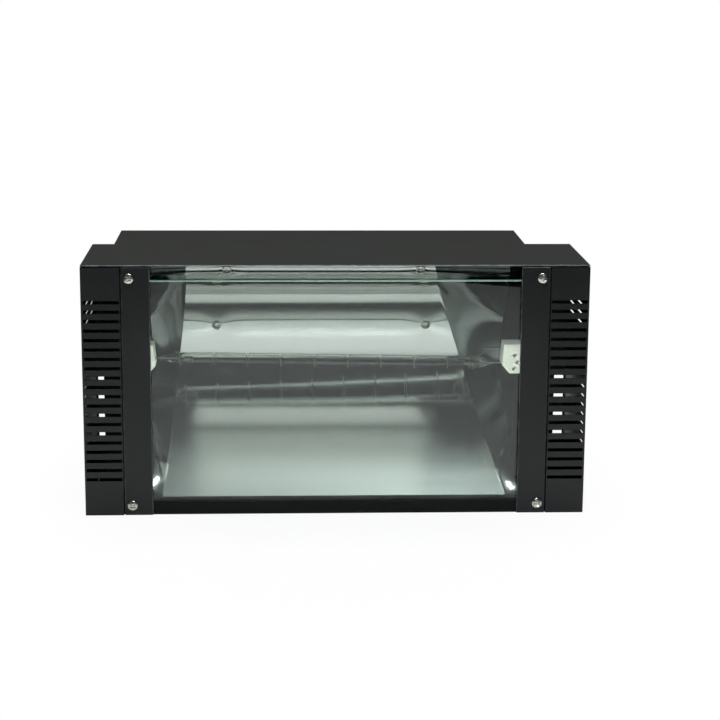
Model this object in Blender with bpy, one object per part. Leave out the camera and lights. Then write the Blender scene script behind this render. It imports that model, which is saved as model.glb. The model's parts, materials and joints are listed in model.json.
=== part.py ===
"""Stage strobe light: slotted steel case, flash tube in a bent reflector, yoke. Metres, +Z up, front at -Y."""

import math

import bmesh
import bpy
import numpy as np
from mathutils import Matrix, Vector

# Sheet metal and fits
SHEET = 0.0012
FIT = 0.0003
COVER_GAP = 0.0008

# Case
FRAME_WIDTH = 0.430
FRAME_HEIGHT = 0.218
FRAME_DEPTH = 0.115
REAR_STEP = 0.0555
REAR_WIDTH = FRAME_WIDTH - REAR_STEP
REAR_DEPTH = 0.105
REAR_OFFSET = -0.01025
REAR_DROP = 0.0035

# Screws
SCREW_RADIUS = 0.0019
SCREW_HOLE = SCREW_RADIUS + FIT
SCREW_HEAD_RADIUS = 0.0042
SCREW_HEAD_HEIGHT = 0.0024

# Window, strips and glass
FLANK_WIDTH = 0.058
WINDOW_WIDTH = FRAME_WIDTH - 2 * FLANK_WIDTH
STRIP_WIDTH = 0.0242
STRIP_THICKNESS = 0.0015
STRIP_SCREW_INSET = 0.0066
STRIP_SCREW_TOP = 0.0112
STRIP_SCREW_BOTTOM = 0.0090
VENT_GAP = 0.0010
LIP_HEIGHT = 0.0113
GLASS_THICKNESS = 0.004
GLASS_COVER_GAP = 0.0135
GLASS_OVERLAP = 0.0120
SEAT_INSET = 0.0030
GASKET_WIDTH = 0.0080

# Vent slots
SLOT_HEIGHT = 0.0030
SLOT_PITCH = 0.00812
SLOT_COUNT = 20
SLOT_FIRST_DROP = 0.0318
SLOT_MARGIN = 0.0008
SLOT_OUTER_MARGIN = 0.0016
SIDE_SLOT_COUNT = 3
SIDE_SLOT_FIRST_DROP = 0.0403
SIDE_SLOT_FRONT = 0.018
SIDE_SLOT_BACK = 0.012
LOW_SLOT_COUNT = 7
LOW_SLOT_FIRST_DROP = 0.1085
LOW_SLOT_FRONT = 0.006
LOW_SLOT_LENGTH = 0.036
SHOULDER_SLOT_HEIGHT = 0.0034
SHOULDER_SLOT_PITCH = 0.0174
SHOULDER_SLOT_COUNT = 4
SHOULDER_SLOT_FIRST = 0.0947
SHOULDER_SLOT_LENGTH = 0.0085
SHOULDER_MARGIN = 0.0013
WALL_SLOT_HEIGHT = 0.0032
WALL_SLOT_PITCH = 0.0125
WALL_SLOT_COUNT = 12
WALL_SLOT_FIRST = 0.045
WALL_SLOT_FRONT = 0.022
WALL_SLOT_BACK = 0.014

# Reflector: an arc with a straight roof above and a straight floor below, in depth and height
REFLECTOR_THICKNESS = 0.0008
REFLECTOR_STAND = 0.009
REFLECTOR_DEPTH = FRAME_DEPTH - REFLECTOR_STAND
REFLECTOR_AXIS_HEIGHT = 0.122
ROOF_FRONT = 0.014
ROOF_DROP = 0.007
ROOF_TOP = FRAME_HEIGHT - ROOF_DROP
ROOF_ROOM = 0.011
REFLECTOR_RADIUS = ROOF_TOP - ROOF_ROOM - REFLECTOR_AXIS_HEIGHT
FLOOR_FRONT = 0.0105
FLOOR_FOOT = 0.0135
MIRROR_CENTRE = -0.0119
MIRROR_CENTRE_DRIFT = 0.1026
WING_MARGIN = 0.0025
WING_WIDTH = 0.0290
WING_HALF_WIDTH = WINDOW_WIDTH / 2 - WING_MARGIN
MIRROR_HALF_WIDTH = WING_HALF_WIDTH - WING_WIDTH
MIRROR_SPLAY = 0.2147
WING_CENTRE = -0.006
WING_SPLAY = 0.0110
WING_RISE = 0.018
BACK_SCREW_INSET = 0.0315
BACK_SCREW_SPACING = 2 * (MIRROR_HALF_WIDTH - BACK_SCREW_INSET)
BACK_SCREW_HEIGHT = 0.1465
ROOF_SCREW_INSET = 0.0430
ROOF_SCREW_SPACING = 2 * (MIRROR_HALF_WIDTH - ROOF_SCREW_INSET)
ROOF_SCREW_DROP = 0.0025
ROOF_SCREW_HEIGHT = ROOF_TOP - ROOF_SCREW_DROP
CARRIER_END = 0.012
BAR_HALF_HEIGHT = 0.008
HANGER_LEG = 0.018
HANGER_FOOT = 0.007
HANGER_NOSE = 0.004

# Lamp
LAMP_X = -0.0045
LAMP_DEPTH = 0.055
LAMP_HEIGHT = 0.1242
LAMP_LEAN = math.radians(1.0)
TUBE_RADIUS = 0.0049
TUBE_WALL = 0.0010
TUBE_END_ROOM = 0.019
TUBE_LENGTH = WINDOW_WIDTH - TUBE_END_ROOM
TUBE_TAPER = 0.016
TUBE_NECK_RADIUS = 0.0026
LEAD_RADIUS = 0.0006
LEAD_REACH = 0.0040
ELECTRODE_RADIUS = 0.0022
ELECTRODE_LENGTH = 0.008
SOCKET_LENGTH = 0.018
SOCKET_DEPTH = 0.022
SOCKET_HEIGHT = 0.0258
SOCKET_DROP = 0.0098
SOCKET_CHAMFER = (0.0066, 0.0074)
SOCKET_BORE_DEPTH = 0.008
WIRE_RADIUS = 0.00028
WIRE_LOOPS = 9
WIRE_INSET = 0.0115
WIRE_FIRST = WIRE_INSET - TUBE_LENGTH / 2
WIRE_BARE = 0.0313
WIRE_PITCH = (TUBE_LENGTH - WIRE_BARE) / WIRE_LOOPS
WIRE_ADVANCE = 0.0030
WIRE_CORNER = 0.0012
WIRE_COIL_INSET = 0.0295
WIRE_COIL_START = TUBE_LENGTH / 2 - WIRE_COIL_INSET
WIRE_COIL_TURNS = 4
WIRE_COIL_PITCH = 0.0016
WIRE_LEAD_RISE = 0.0125
LOOP_POINTS = 24

# Yoke
PIVOT_DEPTH = 0.165
PIVOT_HEIGHT = 0.130
YOKE_BAR = 0.003
YOKE_WIDTH = 0.030
YOKE_REACH = 0.125
YOKE_BEND = 0.007
YOKE_STAND = 0.0010
BOLT_RADIUS = 0.0040
KNOB_RADIUS = 0.0130
KNOB_HEIGHT = 0.0110
KNOB_LOBES = 6
HANG_HOLE_RADIUS = 0.0055
SIDE_HOLE_RADIUS = 0.0035
SIDE_HOLE_SPACING = 0.100

# Rear panel fittings, placed from the rear box's centre line
OUTER_INSET = 0.05225
INNER_INSET = 0.08925
DMX_OUTER_INSET = 0.05725
DMX_INNER_INSET = 0.09225
OUTER_PLACE = REAR_WIDTH / 2 - OUTER_INSET
INNER_PLACE = REAR_WIDTH / 2 - INNER_INSET
INLET_PLACE = (OUTER_PLACE, 0.060)
INLET_BODY = (0.0270, 0.0195)
INLET_FLANGE = (0.0320, 0.0250)
INLET_DEPTH = 0.022
FUSE_PLACE = (INNER_PLACE, 0.060)
FUSE_RADIUS = 0.0060
FUSE_LENGTH = 0.030
DMX_OUTER = DMX_OUTER_INSET - REAR_WIDTH / 2
DMX_INNER = DMX_INNER_INSET - REAR_WIDTH / 2
DMX_PLACES = {"dmx_input": (DMX_OUTER, 0.060), "dmx_output": (DMX_INNER, 0.060)}
DMX_RADIUS = 0.0115
DMX_FLANGE = (0.0260, 0.0310)
DMX_DEPTH = 0.020
FLANGE_THICKNESS = 0.0024
DIP_PLACE = ((DMX_OUTER + DMX_INNER) / 2, 0.118)
DIP_WAYS = 10
DIP_PITCH = 0.00254
DIP_HEIGHT = 0.0098
DIP_DEPTH = 0.0085
DIP_SLOT = (0.0016, 0.0042)
DIP_LEVER_HEIGHT = 0.0017
DIP_LEVER_PROUD = 0.0009
CONTROL_PLACES = {"speed": (INNER_PLACE, 0.118), "dimmer": (OUTER_PLACE, 0.118)}
POT_RADIUS = 0.0080
POT_DEPTH = 0.0110
BUSH_RADIUS = 0.0034
BUSH_LENGTH = 0.0042
SHAFT_RADIUS = 0.0020
CONTROL_KNOB_RADIUS = 0.0085
CONTROL_KNOB_HEIGHT = 0.0150
FAN_PLACE = (0.0, 0.062)
FAN_SIZE = 0.060
FAN_DEPTH = 0.025
FAN_BORE = 0.0280
FAN_HUB = 0.0125
FAN_BLADES = 7
GRILLE_SLOTS = 7

# Inside the rear box
CAPACITOR_RADIUS = 0.0175
CAPACITOR_HEIGHT = 0.062
BOARD_SIZE = (0.110, 0.060)
BOARD_THICKNESS = 0.0016
BOARD_STANDOFF = 0.006
COIL_SIZE = (0.040, 0.032, 0.036)

# Places worked out from the sizes above
FRONT = -(FRAME_DEPTH + REAR_DEPTH) / 2
BACK = -FRONT
REAR_LEFT = REAR_OFFSET - REAR_WIDTH / 2
REAR_RIGHT = REAR_OFFSET + REAR_WIDTH / 2
REAR_TOP = FRAME_HEIGHT - REAR_DROP
PANEL_TOP = FRAME_HEIGHT - SHEET - COVER_GAP
STRIP_INNER = WINDOW_WIDTH / 2
STRIP_OUTER = STRIP_INNER + STRIP_WIDTH
SEAT = STRIP_INNER + SEAT_INSET
LIP_FRONT = STRIP_THICKNESS + FIT
GLASS_FRONT = LIP_FRONT + SHEET + FIT
GLASS_BACK = GLASS_FRONT + GLASS_THICKNESS
RAIL_FRONT = GLASS_BACK + FIT
GLASS_TOP = FRAME_HEIGHT - GLASS_COVER_GAP
FLOOR_TOP = SHEET + FIT
REAR_START = FRAME_DEPTH + FIT
REAR_INNER_LEFT = REAR_LEFT + SHEET + FIT
REAR_INNER_RIGHT = REAR_RIGHT - SHEET - FIT
SOCKET_INNER = TUBE_LENGTH / 2 + LEAD_REACH
SIDES = {"left": -1, "right": 1}


def clear_scene():
    for thing in list(bpy.data.objects):
        bpy.data.objects.remove(thing, do_unlink=True)


def finish(name, colour, roughness, metallic=0.0):
    """A plain Principled material."""
    made = bpy.data.materials.new(name)
    made.use_nodes = True
    shader = made.node_tree.nodes["Principled BSDF"]
    shader.inputs["Base Color"].default_value = (*colour, 1.0)
    shader.inputs["Roughness"].default_value = roughness
    shader.inputs["Metallic"].default_value = metallic
    return made


def place(name, shape, material, origin=(0.0, 0.0, 0.0), smooth=False):
    """Make an object of a shape that is given in world metres, with its own origin at the given point."""
    bmesh.ops.recalc_face_normals(shape, faces=shape.faces)
    bmesh.ops.translate(shape, verts=shape.verts, vec=-Vector(origin))
    mesh = bpy.data.meshes.new(name)
    shape.to_mesh(mesh)
    shape.free()
    if material:
        mesh.materials.append(material)
    if smooth:
        mesh.shade_smooth()
        mesh.set_sharp_from_angle(angle=math.radians(35))
    thing = bpy.data.objects.new(name, mesh)
    thing.location = origin
    bpy.context.scene.collection.objects.link(thing)
    return thing


def change(thing, operation, shape, word):
    """Cut a shape from an object, or join it on, with a hidden helper."""
    helper = place(f"{thing.name}_{word}", shape, None)
    helper.hide_render = True
    helper.display_type = "WIRE"
    boolean = thing.modifiers.new(word, "BOOLEAN")
    boolean.operation = operation
    boolean.solver = "EXACT"
    boolean.object = helper


def block(low, high, shape=None):
    """A block between two corners, added to a shape or by itself."""
    shape = shape or bmesh.new()
    low = Vector(low)
    high = Vector(high)
    middle = Matrix.Translation((low + high) / 2)
    bmesh.ops.create_cube(shape, size=1.0, matrix=middle @ Matrix.Diagonal((*(high - low), 1.0)))
    return shape


def prism(outline, start, stop, axis):
    """A flat outline carried along X, Y or Z. The outline's pairs are the other two axes in XYZ order."""
    order = {"X": (2, 0, 1), "Y": (0, 2, 1), "Z": (0, 1, 2)}[axis]
    shape = bmesh.new()
    ring = []
    for pair in outline:
        values = (*pair, start)
        ring.append(shape.verts.new([values[slot] for slot in order]))
    face = shape.faces.new(ring)
    grown = bmesh.ops.extrude_face_region(shape, geom=[face])["geom"]
    travel = Vector([(0.0, 0.0, stop - start)[slot] for slot in order])
    ends = [item for item in grown if isinstance(item, bmesh.types.BMVert)]
    bmesh.ops.translate(shape, verts=ends, vec=travel)
    return shape


def turned(profile, origin, axis, steps=20, shape=None, closed=False):
    """A profile of (distance along the axis, radius) pairs turned about the axis."""
    shape = shape or bmesh.new()
    axis = Vector(axis).normalized()
    side = axis.orthogonal().normalized()
    origin = Vector(origin)
    points = [shape.verts.new(origin + axis * along + side * radius) for along, radius in profile]
    pairs = list(zip(points, points[1:]))
    if closed:
        pairs.append((points[-1], points[0]))
    edges = [shape.edges.new(pair) for pair in pairs]
    bmesh.ops.spin(shape, geom=points + edges, cent=origin, axis=axis, angle=2 * math.pi, steps=steps)
    bmesh.ops.remove_doubles(shape, verts=shape.verts, dist=1e-6)
    return shape


def rod(origin, axis, start, stop, radius, steps=16, shape=None):
    """A plain round rod along an axis."""
    profile = [(start, 0.0), (start, radius), (stop, radius), (stop, 0.0)]
    return turned(profile, origin, axis, steps, shape)


def arc(centre, radius, first, last, count):
    """Points of a circular arc, as pairs."""
    angles = np.linspace(first, last, count)
    return [(centre[0] + radius * math.cos(a), centre[1] + radius * math.sin(a)) for a in angles]


def rows(low, high, count, pitch, height, axis_step):
    """A stack of slot cutters: the first between two corners in plan, each next one a pitch away."""
    shape = bmesh.new()
    for index in range(count):
        middle = axis_step + index * pitch
        block((low[0], low[1], middle - height / 2), (high[0], high[1], middle + height / 2), shape)
    return shape


# Case: base, cover and vent panels

def base_plate(steel):
    half = FRAME_WIDTH / 2 - SHEET - FIT
    front = FRONT + LIP_FRONT
    step = FRONT + FRAME_DEPTH - SHEET - FIT
    outline = [
        (-half, front),
        (half, front),
        (half, step),
        (REAR_INNER_RIGHT, step),
        (REAR_INNER_RIGHT, BACK),
        (REAR_INNER_LEFT, BACK),
        (REAR_INNER_LEFT, step),
        (-half, step),
    ]
    plate = place("base_plate", prism(outline, 0.0, SHEET, "Z"), steel)
    half_lip = SEAT - FIT
    lip = block((-half_lip, front, SHEET / 2), (half_lip, front + SHEET, LIP_HEIGHT))
    change(plate, "UNION", lip, "lip")


def top_cover(steel):
    half = FRAME_WIDTH / 2
    low = (-half, FRONT, FRAME_HEIGHT - SHEET)
    place("top_cover", block(low, (half, FRONT + FRAME_DEPTH, FRAME_HEIGHT)), steel)


def vent_panel(name, side, steel):
    """Front, side wall and rear shoulder folded from one sheet, with three sets of slots."""
    inner = STRIP_OUTER + VENT_GAP
    outer = FRAME_WIDTH / 2
    shoulder = (REAR_RIGHT if side > 0 else -REAR_LEFT) + FIT
    rear = FRONT + FRAME_DEPTH
    outline = [
        (side * inner, FRONT),
        (side * outer, FRONT),
        (side * outer, rear),
        (side * shoulder, rear),
        (side * shoulder, rear - SHEET),
        (side * (outer - SHEET), rear - SHEET),
        (side * (outer - SHEET), FRONT + SHEET),
        (side * inner, FRONT + SHEET),
    ]
    panel = place(f"vent_panel_{name}", prism(outline, 0.0, PANEL_TOP, "Z"), steel)
    first = FRAME_HEIGHT - SLOT_FIRST_DROP
    low, high = sorted((side * (inner + SLOT_MARGIN), side * (outer - SLOT_OUTER_MARGIN)))
    corners = (low, FRONT - SHEET), (high, FRONT + 2 * SHEET)
    change(panel, "DIFFERENCE", rows(*corners, SLOT_COUNT, -SLOT_PITCH, SLOT_HEIGHT, first), "front_slots")
    low, high = sorted((side * (outer - 2 * SHEET), side * (outer + SHEET)))
    corners = (low, FRONT + SIDE_SLOT_FRONT), (high, rear - SIDE_SLOT_BACK)
    upper = FRAME_HEIGHT - SIDE_SLOT_FIRST_DROP
    slots = rows(*corners, SIDE_SLOT_COUNT, -SLOT_PITCH, SLOT_HEIGHT, upper)
    change(panel, "DIFFERENCE", slots, "side_slots")
    start = FRONT + LOW_SLOT_FRONT
    corners = (low, start), (high, start + LOW_SLOT_LENGTH)
    lower = FRAME_HEIGHT - LOW_SLOT_FIRST_DROP
    slots = rows(*corners, LOW_SLOT_COUNT, -SLOT_PITCH, SLOT_HEIGHT, lower)
    change(panel, "DIFFERENCE", slots, "low_side_slots")
    edge = outer - SHEET - SHOULDER_MARGIN
    low, high = sorted((side * (edge - SHOULDER_SLOT_LENGTH), side * edge))
    corners = (low, rear - 2 * SHEET), (high, rear + SHEET)
    sizes = (SHOULDER_SLOT_COUNT, -SHOULDER_SLOT_PITCH, SHOULDER_SLOT_HEIGHT, SHOULDER_SLOT_FIRST)
    slots = rows(*corners, *sizes)
    change(panel, "DIFFERENCE", slots, "shoulder_slots")


# Window: walls with rails, strips, gaskets and glass

def strip_screw_points(side):
    across = side * (STRIP_OUTER - STRIP_SCREW_INSET)
    return {"upper": (across, FRAME_HEIGHT - STRIP_SCREW_TOP), "lower": (across, STRIP_SCREW_BOTTOM)}


def chamber_wall(name, side, steel):
    """Lamp chamber's side wall in line with the rear box, with the rail that the glass and strip sit on."""
    outside = REAR_RIGHT if side > 0 else REAR_LEFT
    inside = outside - side * SHEET
    rail_outer = max(STRIP_OUTER, abs(outside))
    low, high = sorted((side * SEAT, side * rail_outer))
    rail = block((low, FRONT + RAIL_FRONT, FLOOR_TOP), (high, FRONT + RAIL_FRONT + SHEET, PANEL_TOP))
    wall = place(f"chamber_wall_{name}", rail, steel)
    low, high = sorted((inside, outside))
    start = FRONT + RAIL_FRONT + SHEET / 2
    stop = FRONT + FRAME_DEPTH - FIT
    change(wall, "UNION", block((low, start, FLOOR_TOP), (high, stop, PANEL_TOP)), "side")
    low, high = sorted((inside - side * SHEET, outside + side * SHEET))
    corners = (low, FRONT + WALL_SLOT_FRONT), (high, FRONT + FRAME_DEPTH - WALL_SLOT_BACK)
    slots = rows(*corners, WALL_SLOT_COUNT, WALL_SLOT_PITCH, WALL_SLOT_HEIGHT, WALL_SLOT_FIRST)
    change(wall, "DIFFERENCE", slots, "slots")
    for word, (across, height) in strip_screw_points(side).items():
        hole = rod((across, FRONT, height), (0, 1, 0), GLASS_BACK, RAIL_FRONT + 4 * SHEET, SCREW_HOLE, 12)
        change(wall, "DIFFERENCE", hole, f"{word}_hole")


def screw(name, seat, axis, grip, material):
    """A pan-head screw: seat is the point under its head, and the axis points out of the head."""
    head = [
        (-grip, 0.0),
        (-grip, SCREW_RADIUS),
        (FIT, SCREW_RADIUS),
        (FIT, SCREW_HEAD_RADIUS),
        (FIT + SCREW_HEAD_HEIGHT * 0.5, SCREW_HEAD_RADIUS),
        (FIT + SCREW_HEAD_HEIGHT * 0.85, SCREW_HEAD_RADIUS * 0.72),
        (FIT + SCREW_HEAD_HEIGHT, 0.0),
    ]
    place(name, turned(head, seat, axis, 16), material, smooth=True)


def glass_strip(name, side, steel, nickel):
    low, high = sorted((side * STRIP_INNER, side * STRIP_OUTER))
    bar = block((low, FRONT, 0.0), (high, FRONT + STRIP_THICKNESS, PANEL_TOP))
    strip = place(f"glass_strip_{name}", bar, steel)
    for word, (across, height) in strip_screw_points(side).items():
        seat = (across, FRONT, height)
        change(strip, "DIFFERENCE", rod(seat, (0, 1, 0), -SHEET, 4 * SHEET, SCREW_HOLE, 12), f"{word}_hole")
        screw(f"strip_screw_{word}_{name}", seat, (0, -1, 0), RAIL_FRONT + 2 * SHEET, nickel)


def window(glass_material, gasket_material):
    half = STRIP_INNER + GLASS_OVERLAP
    low = (-half, FRONT + GLASS_FRONT, FLOOR_TOP)
    place("front_glass", block(low, (half, FRONT + GLASS_BACK, GLASS_TOP)), glass_material)
    for name, side in SIDES.items():
        low, high = sorted((side * SEAT, side * (SEAT + GASKET_WIDTH)))
        start = FRONT + LIP_FRONT
        pad = block((low, start, FLOOR_TOP), (high, start + SHEET, GLASS_TOP))
        place(f"glass_gasket_{name}", pad, gasket_material)


# Reflector and what carries it

def tangent_tilt(front, height):
    """How far the arc turns from upright before its straight end can run to a point in front of it."""
    ahead = REFLECTOR_DEPTH - REFLECTOR_RADIUS - front
    away = abs(height - REFLECTOR_AXIS_HEIGHT)
    return math.asin(REFLECTOR_RADIUS / math.hypot(ahead, away)) + math.atan2(ahead, away)


def reflector_point(height):
    """Depth and tilt of the reflector's bright face at a height, on its arc or its straight roof."""
    rise = height - REFLECTOR_AXIS_HEIGHT
    roof = tangent_tilt(ROOF_FRONT, ROOF_TOP)
    if rise > REFLECTOR_RADIUS * math.sin(roof):
        return ROOF_FRONT + (ROOF_TOP - height) * math.tan(roof), roof
    tilt = math.asin(rise / REFLECTOR_RADIUS)
    return REFLECTOR_DEPTH - REFLECTOR_RADIUS * (1 - math.cos(tilt)), tilt


def reflector_profile():
    """Depth and height pairs from the roof's front edge, round the arc and down the floor to its foot."""
    centre = (REFLECTOR_DEPTH - REFLECTOR_RADIUS, REFLECTOR_AXIS_HEIGHT)
    roof = tangent_tilt(ROOF_FRONT, ROOF_TOP)
    floor = tangent_tilt(FLOOR_FRONT, FLOOR_FOOT)
    bend = arc(centre, REFLECTOR_RADIUS, roof, -floor, 18)
    return [(ROOF_FRONT, ROOF_TOP), *bend, (FLOOR_FRONT, FLOOR_FOOT)]


def mirror_edge(side, height):
    """Where the bent mirror ends and its wing starts: the sheet widens and shifts towards its foot."""
    drop = REFLECTOR_AXIS_HEIGHT - height
    centre = MIRROR_CENTRE + MIRROR_CENTRE_DRIFT * drop
    return centre + side * (MIRROR_HALF_WIDTH + MIRROR_SPLAY * drop)


def wing_edge(side, depth, height):
    """The wing's free edge: lifted off the sheet towards its axis, less where the glass is near."""
    ahead = REFLECTOR_DEPTH - REFLECTOR_RADIUS
    roof = tangent_tilt(ROOF_FRONT, ROOF_TOP)
    floor = tangent_tilt(FLOOR_FRONT, FLOOR_FOOT)
    tilt = math.atan2(height - REFLECTOR_AXIS_HEIGHT, depth - ahead)
    tilt = min(max(tilt, -floor), roof)
    rise = min(WING_RISE, (depth - FLOOR_FRONT) / math.cos(tilt))
    share = min(max((REFLECTOR_AXIS_HEIGHT - height) / (REFLECTOR_AXIS_HEIGHT - FLOOR_FOOT), 0.0), 1.0)
    across = WING_CENTRE + side * (WING_HALF_WIDTH + WING_SPLAY * share ** 2)
    return across, FRONT + depth - rise * math.cos(tilt), height - rise * math.sin(tilt)


def reflector_screw_points():
    points = {}
    for name, side in SIDES.items():
        points[f"back_{name}"] = (REAR_OFFSET + side * BACK_SCREW_SPACING / 2, BACK_SCREW_HEIGHT)
        points[f"roof_{name}"] = (REAR_OFFSET + side * ROOF_SCREW_SPACING / 2, ROOF_SCREW_HEIGHT)
    return points


def reflector(mirror, nickel):
    """One polished sheet: a bent mirror and, at each end, a wing folded in towards the tube."""
    shape = bmesh.new()
    lines = []
    for depth, height in reflector_profile():
        line = [wing_edge(-1, depth, height)]
        line += [(mirror_edge(side, height), FRONT + depth, height) for side in (-1, 1)]
        line += [wing_edge(1, depth, height)]
        lines.append([shape.verts.new(point) for point in line])
    for line, following in zip(lines, lines[1:]):
        for column in range(3):
            near, far = line[column : column + 2]
            shape.faces.new((near, far, following[column + 1], following[column]))
    sheet = place("reflector", shape, mirror)
    wall = sheet.modifiers.new("wall", "SOLIDIFY")
    wall.thickness = REFLECTOR_THICKNESS
    wall.offset = -1.0 if sheet.data.polygons[25].normal.y < 0 else 1.0
    wall.use_even_offset = True
    for name, (across, height) in reflector_screw_points().items():
        depth, tilt = reflector_point(height)
        seat = Vector((across, FRONT + depth, height))
        axis = Vector((0.0, -math.cos(tilt), -math.sin(tilt)))
        hole = rod(seat, axis, -4 * REFLECTOR_THICKNESS, 2 * REFLECTOR_THICKNESS, SCREW_HOLE, 12)
        change(sheet, "DIFFERENCE", hole, f"{name}_hole")
        screw(f"reflector_screw_{name}", seat, axis, REFLECTOR_THICKNESS + FIT + SHEET, nickel)


def reflector_carriers(steel):
    """A wedge bar on the bulkhead behind the back screws, and a hanger under the cover for the others."""
    reach = BACK_SCREW_SPACING / 2 + CARRIER_END
    depth, tilt = reflector_point(BACK_SCREW_HEIGHT)
    out = Vector((math.cos(tilt), math.sin(tilt)))
    up = Vector((-math.sin(tilt), math.cos(tilt)))
    seat = Vector((FRONT + depth, BACK_SCREW_HEIGHT)) + out * (REFLECTOR_THICKNESS + FIT)
    low = seat - up * BAR_HALF_HEIGHT
    high = seat + up * BAR_HALF_HEIGHT
    rear = FRONT + FRAME_DEPTH - SHEET - FIT
    outline = [tuple(low), tuple(high), (rear, high.y), (rear, low.y)]
    bar = place("reflector_bracket", prism(outline, REAR_OFFSET - reach, REAR_OFFSET + reach, "X"), steel)
    depth, tilt = reflector_point(ROOF_SCREW_HEIGHT)
    out = Vector((math.cos(tilt), math.sin(tilt)))
    up = Vector((-math.sin(tilt), math.cos(tilt)))
    seat = Vector((FRONT + depth, ROOF_SCREW_HEIGHT)) + out * (REFLECTOR_THICKNESS + FIT)
    foot = seat - up * HANGER_FOOT
    nose = seat + up * HANGER_NOSE
    far = foot + out * SHEET
    top = PANEL_TOP
    bend = far + up * ((far.x - nose.x - SHEET) / -up.x)
    leg = nose.x + HANGER_LEG
    outline = [tuple(foot), tuple(nose), (nose.x, top), (leg, top), (leg, top - SHEET)]
    outline += [(nose.x + SHEET, top - SHEET), tuple(bend), tuple(far)]
    reach = ROOF_SCREW_SPACING / 2 + CARRIER_END
    hanger = place("reflector_hanger", prism(outline, REAR_OFFSET - reach, REAR_OFFSET + reach, "X"), steel)
    for name, (across, height) in reflector_screw_points().items():
        carrier = bar if name.startswith("back") else hanger
        depth, tilt = reflector_point(height)
        axis = (0.0, -math.cos(tilt), -math.sin(tilt))
        hole = rod((across, FRONT + depth, height), axis, -5 * SHEET, SHEET, SCREW_HOLE, 12)
        change(carrier, "DIFFERENCE", hole, f"{name}_hole")


def bulkhead(steel):
    low = (REAR_INNER_LEFT, FRONT + FRAME_DEPTH - SHEET, FLOOR_TOP)
    plate = place("bulkhead", block(low, (REAR_INNER_RIGHT, FRONT + FRAME_DEPTH, PANEL_TOP)), steel)
    holes = bmesh.new()
    for side in SIDES.values():
        seat = (REAR_OFFSET + side * REAR_WIDTH * 0.44, FRONT + FRAME_DEPTH, LAMP_HEIGHT)
        rod(seat, (0, 1, 0), -4 * SHEET, 2 * SHEET, 0.006, 16, holes)
    change(plate, "DIFFERENCE", holes, "lead_holes")


# Lamp: sockets, tube, electrodes and trigger wire

def leaned(shape):
    """Tip a shape of the lamp by the lamp's lean, about the middle of its axis."""
    middle = Vector((LAMP_X, FRONT + LAMP_DEPTH, LAMP_HEIGHT))
    bmesh.ops.rotate(shape, verts=shape.verts, cent=middle, matrix=Matrix.Rotation(LAMP_LEAN, 3, "Y"))
    return shape


def socket(name, side, ceramic, steel):
    """Ceramic terminal block with its lead bores, and the folded bracket that holds it off the wall."""
    inner = LAMP_X + side * SOCKET_INNER
    outer = inner + side * SOCKET_LENGTH
    bottom = LAMP_HEIGHT - SOCKET_DROP
    top = bottom + SOCKET_HEIGHT
    across, up = SOCKET_CHAMFER
    outline = [
        (inner + side * across, bottom),
        (outer, bottom),
        (outer, top),
        (inner + side * 0.0016, top),
        (inner, bottom + up),
    ]
    start = FRONT + LAMP_DEPTH - SOCKET_DEPTH / 2
    stop = start + SOCKET_DEPTH
    body = place(f"lamp_socket_{name}", prism(outline, start, stop, "Y"), ceramic)
    holes = bmesh.new()
    middle = inner + side * SOCKET_LENGTH * 0.62
    for across, share in ((0.0, 0.62), (0.0022, 0.38), (-0.0006, 0.15)):
        seat = (middle + side * across, start, bottom + SOCKET_HEIGHT * share)
        rod(seat, (0, 1, 0), -SHEET, 0.006, 0.0018, 12, holes)
    change(body, "DIFFERENCE", holes, "screw_holes")
    bores = bmesh.new()
    for height, radius in ((LAMP_HEIGHT, LEAD_RADIUS), (LAMP_HEIGHT + WIRE_LEAD_RISE, WIRE_RADIUS)):
        seat = (inner, FRONT + LAMP_DEPTH, height)
        rod(seat, (side, 0, 0), -2 * SHEET, SOCKET_BORE_DEPTH, radius + FIT, 12, bores)
    change(body, "DIFFERENCE", leaned(bores), "bores")
    wall = (REAR_RIGHT if side > 0 else REAR_LEFT) - side * (SHEET + FIT)
    near = outer + side * FIT
    plate = [
        (near, start + 0.002),
        (near, start + 0.016 + SHEET),
        (wall - side * SHEET, start + 0.016 + SHEET),
        (wall - side * SHEET, start + 0.032),
        (wall, start + 0.032),
        (wall, start + 0.016),
        (near + side * SHEET, start + 0.016),
        (near + side * SHEET, start + 0.002),
    ]
    place(f"socket_bracket_{name}", prism(plate, bottom + 0.004, top - 0.004, "Z"), steel)


def flash_tube(quartz):
    half = TUBE_LENGTH / 2
    neck = LEAD_RADIUS + FIT
    bore = TUBE_RADIUS - TUBE_WALL
    outside = [(0.0, TUBE_NECK_RADIUS * 0.8), (0.004, TUBE_NECK_RADIUS), (TUBE_TAPER, TUBE_RADIUS)]
    inside = [(TUBE_TAPER, bore), (0.006, neck), (0.0, neck)]
    profile = [(along - half, radius) for along, radius in outside]
    profile += [(half - along, radius) for along, radius in reversed(outside)]
    profile += [(half - along, radius) for along, radius in reversed(inside)]
    profile += [(along - half, radius) for along, radius in inside]
    axis = (LAMP_X, FRONT + LAMP_DEPTH, LAMP_HEIGHT)
    place("flash_tube", leaned(turned(profile, axis, (1, 0, 0), 20, closed=True)), quartz, smooth=True)


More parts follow.
